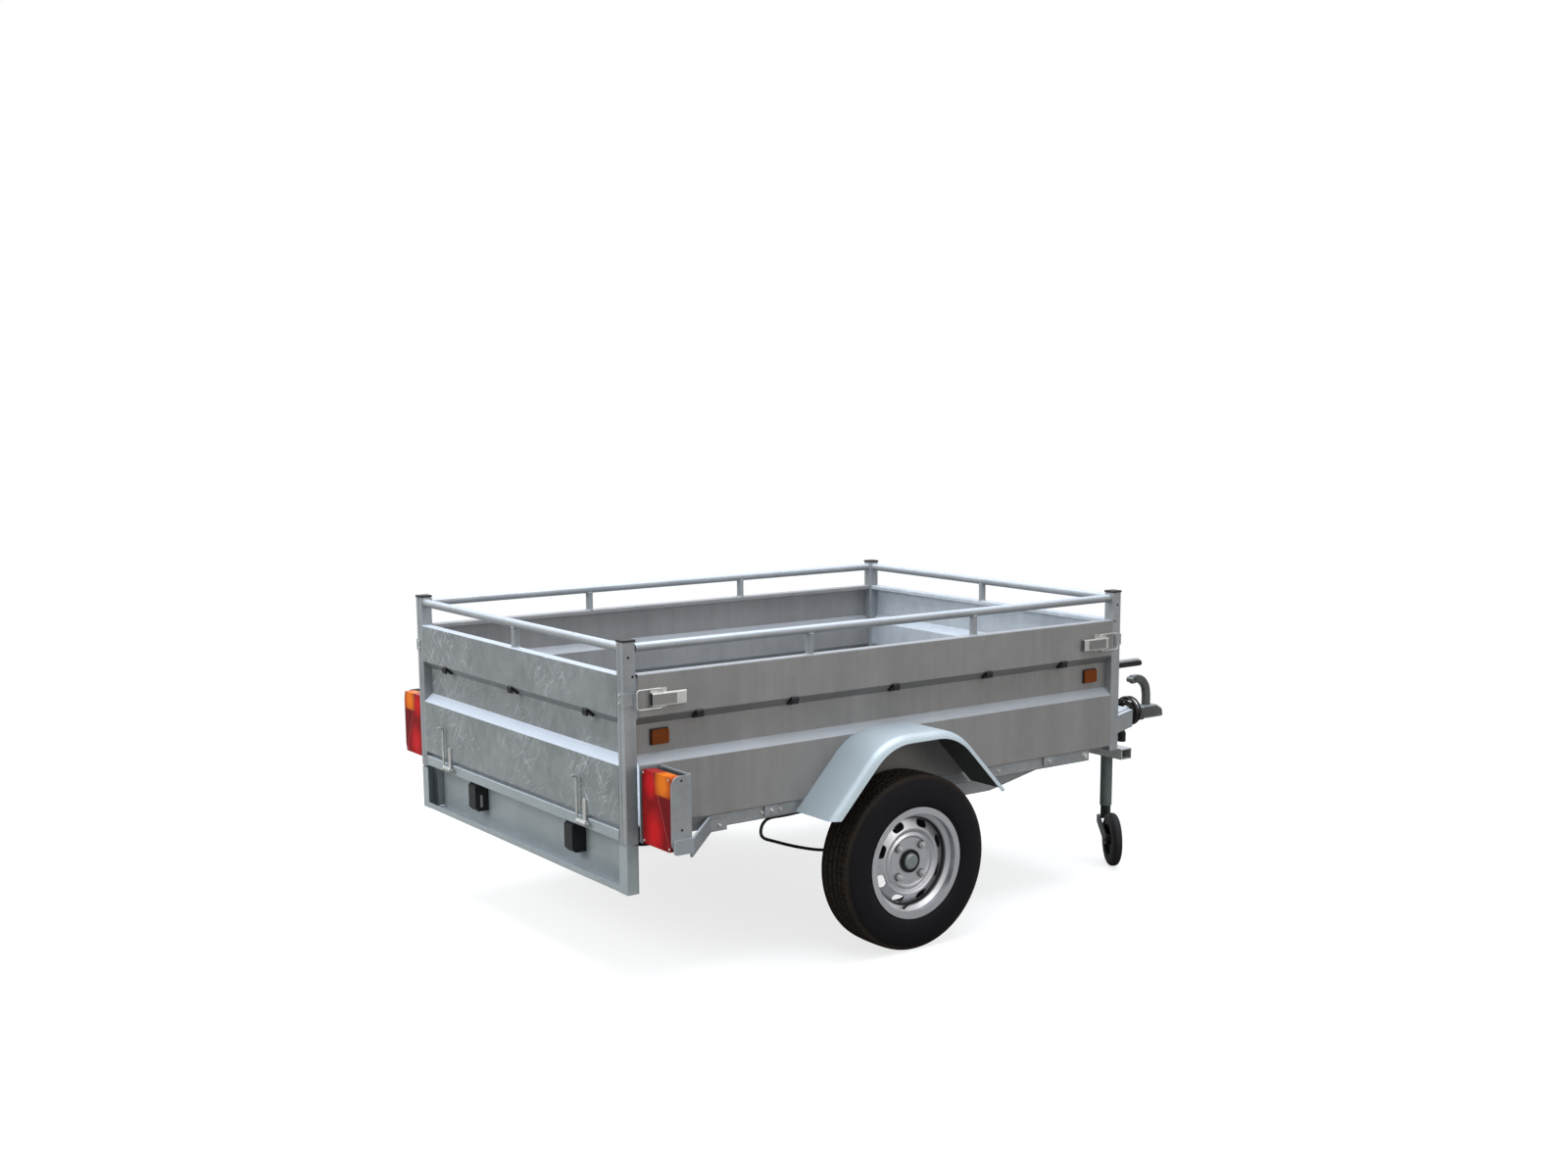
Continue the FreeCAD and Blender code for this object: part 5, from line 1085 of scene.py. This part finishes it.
# %% Zinc on small parts
zinc_bright = galvanised("bright_zinc_fittings", (0.42, 0.42, 0.40), (0.58, 0.58, 0.55),
                         crystals=0.0, metallic=0.6, sky_sheen=0.3)
zinc_cast = galvanised("cast_zinc_coupling", (0.07, 0.074, 0.068), (0.14, 0.147, 0.135),
                       crystals=0.0, metallic=0.45, sky_sheen=0.25)
zinc_dull = galvanised("dull_zinc_tube", (0.10, 0.115, 0.112), (0.15, 0.17, 0.165),
                       crystals=0.0, sky_sheen=0.0)
zinc_axle = galvanised("axle_zinc", (0.10, 0.105, 0.11), (0.17, 0.18, 0.185),
                       crystals=0.05, sky_sheen=0.0)
print("small parts in zinc:", [paint.name for paint in (zinc_bright, zinc_cast, zinc_dull, zinc_axle)])

# %% [markdown]
# ## Plastic, rubber and paint
#
# Rubber, plastic and black paint have nearly the same colour, so what tells them apart is gloss and
# grain. Each gets its own roughness and a fine bump, which is enough at this distance.

# %% Plain finishes


def moulded(name, colour, roughness, grain=0.02, shine=0.5):
    """Moulded plastic or rubber with a fine grain."""
    material, shader = new_finish(name, 0.0, roughness, shine)
    fine = noise(material, 260.0, 3.0)
    darker = tuple(channel * 0.7 for channel in colour)
    colour_it(material, shader, blend_colour(material, fine, darker, colour))
    roughen(material, shader, fine, 0.15, grain / 10)
    return material


black_plastic = moulded("black_plastic", (0.010, 0.010, 0.011), 0.5, shine=0.35)
black_paint = moulded("black_paint", (0.014, 0.015, 0.015), 0.35, shine=0.4)
sheath_rubber = moulded("cable_sheath", (0.008, 0.006, 0.008), 0.5, shine=0.3)
solid_rubber = moulded("solid_tyre_rubber", (0.010, 0.010, 0.011), 0.6, shine=0.3)
clear_lens = moulded("clear_lens", (0.36, 0.38, 0.40), 0.2, shine=0.5)
print("black finishes:", [paint.name for paint in (black_plastic, black_paint, sheath_rubber)])

# %% [markdown]
# ## Tyre rubber
#
# A tyre that has been driven is clean on its wall and brown with dust in its tread. Two materials
# on one mesh would meet in a hard line. The distance from the axle already says which is which, so
# one recipe fades from wall to tread by that distance.

# %% Tyre rubber
WHEEL_ALONG = (TYRE_CENTRE[1] - TAIL_TO_ORIGIN) / MILLIMETRES
WHEEL_UP = TYRE_CENTRE[2] / MILLIMETRES
TREAD_START, TREAD_FULL = 0.262, 0.276


def from_axle(material):
    """How far a point is from the wheels' axis."""
    parts = parts_of(material, "Object")
    ahead = less(material, parts["Y"], WHEEL_ALONG)
    above = less(material, parts["Z"], WHEEL_UP)
    return distance(material, ahead, above)


def tyre_rubber():
    """Near black, browner and duller with road dust in the tread than on the wall."""
    material, shader = new_finish("tyre_rubber", 0.0, 0.6, 0.12)
    tread = step_up(material, from_axle(material), TREAD_START, TREAD_FULL)
    dust = noise(material, 24.0, 5.0)
    fine = noise(material, 300.0, 3.0)
    wall = blend_colour(material, dust, (0.0042, 0.0032, 0.0044), (0.0075, 0.006, 0.0078))
    worn = blend_colour(material, dust, (0.010, 0.0075, 0.006), (0.045, 0.033, 0.025))
    colour_it(material, shader, blend_colour(material, tread, wall, worn))
    join(material, ramp(material, dust, (0.3, 0.52), (0.7, 0.70)), shader.inputs["Roughness"])
    roughen(material, shader, fine, 0.2, 0.002)
    return material


rubber = tyre_rubber()
print("the tread's dust starts", TREAD_START, "m from the axle")

# %% [markdown]
# ## Wheel paint
#
# The rim is silver with grime where the disc is welded into the well and round the four bolt seats.
# Grime could be painted by hand on an image. It sits at known distances from the axle and from the
# bolts, so the recipe works out those distances and darkens a narrow band at each.

# %% Wheel paint
WELL_SEAM = 0.1405


def wheel_paint():
    """Silver paint with grime in the seam of the well and round the bolts."""
    material, shader = new_finish("silver_wheel_paint", 0.8, 0.34)
    seam = off_from(material, from_axle(material), WELL_SEAM)
    grime = step_down(material, seam, 0.0012, 0.0055)
    fine = noise(material, 90.0, 4.0)
    silver = blend_colour(material, fine, (0.44, 0.44, 0.465), (0.52, 0.52, 0.545))
    parts = parts_of(material, "Object")
    ahead = less(material, off_from(material, parts["Y"], WHEEL_ALONG), BOLT_STEP)
    above = less(material, off_from(material, parts["Z"], WHEEL_UP), BOLT_STEP)
    seat = step_down(material, distance(material, ahead, above), 0.0125, 0.0155)
    darkening = sum_of(material, "MAXIMUM", times(material, grime, 0.85), times(material, seat, 0.7))
    colour_it(material, shader, blend_colour(material, darkening, silver, (0.035, 0.033, 0.036)))
    join(material, ramp(material, fine, (0.3, 0.28), (0.7, 0.40)), shader.inputs["Roughness"])
    roughen(material, shader, fine, 0.03, 0.001)
    return material


silver_paint = wheel_paint()
print("grime on the rim", WELL_SEAM, "m from the axle")

# %% [markdown]
# ## Hub
#
# The hub is one CAD node with a grey domed cap, a black ring round it, bright bolts and dark steel
# behind. Cutting the mesh apart to paint it would break its link with the CAD. The parts lie at
# different distances from the axle and from the middle of the trailer, so place picks the colour.

# %% Hub
CAP_EDGE, RING_EDGE, BOLT_HEADS = 0.0262, 0.0375, 0.8265


def hub_finish():
    """A grey domed cap in a black ring, bright bolts round it and dark steel behind."""
    material, shader = new_finish("hub_parts", 0.6, 0.4)
    radius = from_axle(material)
    out = sum_of(material, "ABSOLUTE", parts_of(material, "Object")["X"])
    fine = noise(material, 120.0, 3.0)
    steel = blend_colour(material, fine, (0.05, 0.05, 0.052), (0.09, 0.09, 0.092))
    zinc = blend_colour(material, fine, (0.40, 0.42, 0.44), (0.56, 0.58, 0.60))
    dome = blend_colour(material, fine, (0.20, 0.22, 0.22), (0.27, 0.29, 0.29))
    outside = step_up(material, out, BOLT_HEADS, BOLT_HEADS + 0.001)
    bolts = blend_colour(material, outside, steel, zinc)
    past_ring = step_up(material, radius, RING_EDGE, RING_EDGE + 0.001)
    ring = blend_colour(material, past_ring, (0.012, 0.012, 0.012), bolts)
    past_cap = step_up(material, radius, CAP_EDGE, CAP_EDGE + 0.0006)
    colour_it(material, shader, blend_colour(material, past_cap, dome, ring))
    roughen(material, shader, fine, 0.04, 0.001)
    return material


hub_parts = hub_finish()
print("the hub's cap is", round(2 * CAP_EDGE * MILLIMETRES), "mm wide")

# %% [markdown]
# ## Latch lever
#
# Each latch is a pressed lever in a frame of bright wire. The pressed middle lies in its own shade,
# and that shade is painted on as a duller grey. Both are in one CAD node, so the painted shade is
# picked by its height and by how far it is from the middle of the box, which holds for both gates
# and both sides.

# %% Latch lever
BOX_MIDDLE = spot(0, 1000, 0).y
LEVER_UP, LEVER_AHEAD = 0.8715, 0.874


def latch_finish():
    """Bright wire and edges round a lever whose pressed middle has painted shade."""
    material, shader = new_finish("latch_zinc", 0.8, 0.38)
    parts = parts_of(material, "Object")
    tall = off_from(material, parts["Z"], LEVER_UP)
    long = off_from(material, off_from(material, parts["Y"], BOX_MIDDLE), LEVER_AHEAD)
    inside = step_down(material, tall, 0.0150, 0.0160)
    middle = step_down(material, long, 0.041, 0.042)
    fine = noise(material, 130.0, 3.0)
    zinc = blend_colour(material, fine, (0.46, 0.46, 0.44), (0.64, 0.64, 0.61))
    # Painted shade: the pressed middle is given a duller grey.
    pressed = times(material, inside, middle)
    colour_it(material, shader, blend_colour(material, pressed, zinc, (0.25, 0.245, 0.24)))
    roughen(material, shader, fine, 0.04, 0.001)
    return material


latch_zinc = latch_finish()
print("latch levers", round(LEVER_UP * MILLIMETRES), "mm above the ground")

# %% [markdown]
# ## Crank
#
# The jockey wheel's crank is a flat zinc arm with a black grip at its far end. They are one CAD node,
# and the grip is all of it that lies both low and far out, so two limits are enough to colour it.

# %% Crank
GRIP_TOP = 0.7362
GRIP_START, GRIP_FULL = spot(0, 2240, 0).y, spot(0, 2242, 0).y


def crank_finish():
    """Zinc for the arm, black for the grip below it."""
    material, shader = new_finish("crank_arm_and_grip", 0.3, 0.45)
    parts = parts_of(material, "Object")
    below = step_down(material, parts["Z"], GRIP_TOP, GRIP_TOP + 0.0004)
    ahead = step_up(material, parts["Y"], GRIP_START, GRIP_FULL)
    fine = noise(material, 150.0, 3.0)
    arm = blend_colour(material, fine, (0.26, 0.27, 0.28), (0.42, 0.43, 0.44))
    grip = times(material, below, ahead)
    colour_it(material, shader, blend_colour(material, grip, arm, (0.012, 0.012, 0.013)))
    roughen(material, shader, fine, 0.05, 0.001)
    return material


crank_parts = crank_finish()
print("the crank's grip starts", round(GRIP_TOP * MILLIMETRES), "mm above the ground")

# %% [markdown]
# ## Tail lamps
#
# The tail lamp is one moulding with an amber corner for the indicator. Behind the red, where the
# bulbs sit, the light that shows through the lens is painted as lighter patches, and a mould line runs
# down it at a slant, with painted shade beyond it. Bulbs and a clear shell could be modelled, but the
# light that passes through would cost long renders. All of it is painted by place, with a fine prism
# pattern over it that breaks up the gloss.

# %% Tail lamp lens
LENS_INNER, LENS_WIDE = 0.743, 0.152
LENS_FOOT, LENS_HIGH = 0.469, 0.216
HOUSING_START, HOUSING_FULL = spot(0, 62, 0).y, spot(0, 62.8, 0).y
SLANT_START, SLANT_FALL = 0.97, -0.60


def patch_of(material, across, up, middle_across, middle_up, radius):
    """1 at a spot on the lens, fading to 0 at a radius, in shares of the lens."""
    out = less(material, across, middle_across)
    over = less(material, up, middle_up)
    return step_down(material, distance(material, out, over), radius * 0.3, radius)


def red_of_lens(material, across, up):
    """Deep red with two patches of painted light, and painted shade beyond the slanting mould line."""
    cloud = noise(material, 22.0, 3.0)
    deep = blend_colour(material, cloud, (0.13, 0.0012, 0.0025), (0.32, 0.0025, 0.005))
    # Painted light: two lighter patches where the bulbs sit behind the lens.
    painted_lens_light = sum_of(material, "MAXIMUM", patch_of(material, across, up, 0.30, 0.84, 0.26),
                  patch_of(material, across, up, 0.42, 0.20, 0.34))
    red = blend_colour(material, times(material, painted_lens_light, 0.75), deep, (0.68, 0.008, 0.012))
    slant = less(material, across, sum_of(material, "MULTIPLY_ADD", up, SLANT_FALL, SLANT_START))
    # Painted shade: the lens is darker beyond the slanting mould line.
    beyond = times(material, step_up(material, slant, 0.0, 0.02), 0.55)
    shaded = blend_colour(material, beyond, red, (0.10, 0.003, 0.004))
    mould_line = step_down(material, sum_of(material, "ABSOLUTE", slant), 0.006, 0.013)
    return blend_colour(material, times(material, mould_line, 0.55), shaded, (0.60, 0.10, 0.11))


def lamp_finish():
    """A red lens with an amber corner, fine prisms and a black edge and housing."""
    material, shader = new_finish("tail_lamp_lens", 0.0, 0.2, 0.06)
    parts = parts_of(material, "Object")
    out = sum_of(material, "ABSOLUTE", parts["X"])
    across = step_up(material, out, LENS_INNER, LENS_INNER + LENS_WIDE)
    up = step_up(material, parts["Z"], LENS_FOOT, LENS_FOOT + LENS_HIGH)
    prism = add_node(material, "ShaderNodeTexWave", wave_type="BANDS", bands_direction="X")
    prism.inputs["Scale"].default_value = 90
    join(material, stretched(material), prism.inputs["Vector"])
    red = red_of_lens(material, across, up)
    corner = times(material, step_up(material, across, 0.42, 0.50), step_up(material, up, 0.70, 0.735))
    # Painted light: the amber corner is lighter round where its bulb sits.
    painted_amber_light = patch_of(material, across, up, 0.72, 0.88, 0.30)
    amber = blend_colour(material, painted_amber_light, (0.40, 0.05, 0.004), (0.80, 0.19, 0.010))
    lens = blend_colour(material, corner, red, amber)
    ribbed = blend_colour(material, 0.12, lens, prism.outputs["Color"], "MULTIPLY")
    housing = step_up(material, parts["Y"], HOUSING_START, HOUSING_FULL)
    dark = sum_of(material, "MAXIMUM", housing, step_down(material, across, 0.004, 0.016))
    colour_it(material, shader, blend_colour(material, dark, ribbed, (0.008, 0.008, 0.009)))
    roughen(material, shader, prism.outputs["Fac"], 0.12, 0.001)
    return material


lamp_lens = lamp_finish()
print("the lens is", round(LENS_WIDE * MILLIMETRES), "by", round(LENS_HIGH * MILLIMETRES), "mm")

# %% [markdown]
# ## Side markers
#
# An amber reflector is rows of little prisms, and it looks dull brown when no light shines back from
# them. Hundreds of modelled prisms would be too small to see. A grid of even cells darkens their
# edges and gives them a slight bump.

# %% Side markers
PRISMS_PER_METRE = 210


def marker_finish():
    """Amber with a grid of small prisms."""
    material, shader = new_finish("amber_reflector", 0.0, 0.25, 0.1)
    cells = add_node(material, "ShaderNodeTexVoronoi", feature="F1", distance="MINKOWSKI")
    cells.inputs["Scale"].default_value = PRISMS_PER_METRE
    cells.inputs["Randomness"].default_value = 0.0
    join(material, stretched(material), cells.inputs["Vector"])
    cloud = noise(material, 40.0, 3.0)
    amber = blend_colour(material, cloud, (0.22, 0.052, 0.004), (0.36, 0.092, 0.006))
    edges = ramp(material, cells.outputs["Distance"], (0.25, 0.0), (0.6, 0.55))
    colour_it(material, shader, blend_colour(material, edges, amber, (0.10, 0.018, 0.004)))
    roughen(material, shader, cells.outputs["Distance"], 0.25, 0.001)
    return material


amber_reflector = marker_finish()
print("prisms in the markers:", PRISMS_PER_METRE, "to the metre")

# %% [markdown]
# ## Dressing the metalwork
#
# Each CAD node names the material slot it belongs to, so most of the trailer is dressed from one
# table. A few nodes share a slot but look different on the real trailer, such as the apron or the
# cast coupling, and these have a finish of their own. The front panel also has its own finish: a
# lighter zinc that is painted light.

# %% Dress the metalwork
FINISHES = {
    "galvanised_side": zinc_side,
    "galvanised_gate": zinc_gate,
    "galvanised_frame": zinc_frame,
    "galvanised_floor": zinc_floor,
    "mudguard_zinc": zinc_guard,
    "zinc_hardware": zinc_bright,
    "axle_steel": zinc_axle,
    "painted_black": black_paint,
    "cable_rubber": sheath_rubber,
    "black_plastic": black_plastic,
    "lamp_red": lamp_lens,
    "marker_amber": amber_reflector,
    "lens_clear": clear_lens,
    "tyre_rubber": rubber,
    "rim_silver": silver_paint,
    "hub_steel": hub_parts,
    "crank_parts": crank_parts,
    "jockey_tyre": solid_rubber,
}
OWN_FINISH = {
    "jockey_leg": zinc_dull,
    "jockey_hub": black_plastic,
    "rear_apron": zinc_apron,
    "toggle_latches": latch_zinc,
    # The front panel's lighter zinc is painted light.
    "front_panel": painted_light_front_zinc,
    "tailgate_catches": zinc_frame,
    "front_catches": zinc_frame,
    "coupling_head": zinc_cast,
    "coupling_lever": zinc_cast,
}


def wear(piece, finish):
    """Gives a piece one finish and no other."""
    piece.data.materials.clear()
    piece.data.materials.append(finish)


for part in frame["record"]["subparts"]:
    wear(nodes[part["node"]], OWN_FINISH.get(part["node"], FINISHES[part["material_slot"]]))
print("dressed", len(nodes), "nodes in", len(FINISHES), "finishes and", len(OWN_FINISH), "of their own")

# %% [markdown]
# ## Who carries what
#
# A parent in the outliner would move the new pieces, but it would leave no word of which body they
# belong to. Every new piece rides on the body that carries it instead, so that the tailgate takes its
# rivets along when it folds down and the wheels take their tyres, bolts and valves. Six pieces also
# stand in for plainer CAD nodes.

# %% Hang every piece on its body
CARRIED = [
    (lead, "root", "cable_rubber", None),
    (body_cable, "root", "cable_rubber", None),
    (plug, "root", "black_plastic", None),
    (tyre_right, "wheel_right", "tyre_rubber", None),
    (tyre_left, "wheel_left", "tyre_rubber", None),
    (caster_tyre, "jockey_wheel", "jockey_tyre", None),
    (frame_bolts, "root", "zinc_hardware", None),
    (big_bolts, "root", "zinc_hardware", None),
    (gate_rivets, "tailgate", "zinc_hardware", None),
    (front_rivets, "root", "zinc_hardware", None),
    (lamp_screws, "root", "zinc_hardware", None),
    (welds["tailgate_welds"], "tailgate", "galvanised_frame", None),
    (welds["front_welds"], "root", "galvanised_frame", None),
    (welds["right_rail_welds"], "root", "galvanised_frame", None),
    (welds["left_rail_welds"], "root", "galvanised_frame", None),
    (wheel_bolts["wheel_bolts_right"], "wheel_right", "zinc_hardware", None),
    (wheel_bolts["wheel_bolts_left"], "wheel_left", "zinc_hardware", None),
    (apron_webs, "root", "galvanised_frame", zinc_apron),
    (marker_bases, "root", "black_plastic", None),
    (plate_windows, "root", "lens_clear", None),
    (plate_seams, "root", "black_plastic", None),
    (valves["valve_right"], "wheel_right", "cable_rubber", black_plastic),
    (valves["valve_left"], "wheel_left", "cable_rubber", black_plastic),
]
for piece, carrier, slot, finish in CARRIED:
    wear(piece, finish or FINISHES[slot])
    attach(piece, carrier)
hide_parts("cable_ends", "cable_coil")
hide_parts("body_cable")
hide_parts("cable_plug")
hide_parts("tyre_right")
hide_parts("tyre_left")
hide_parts("jockey_tyre")
print("pieces made:", len(CARRIED))
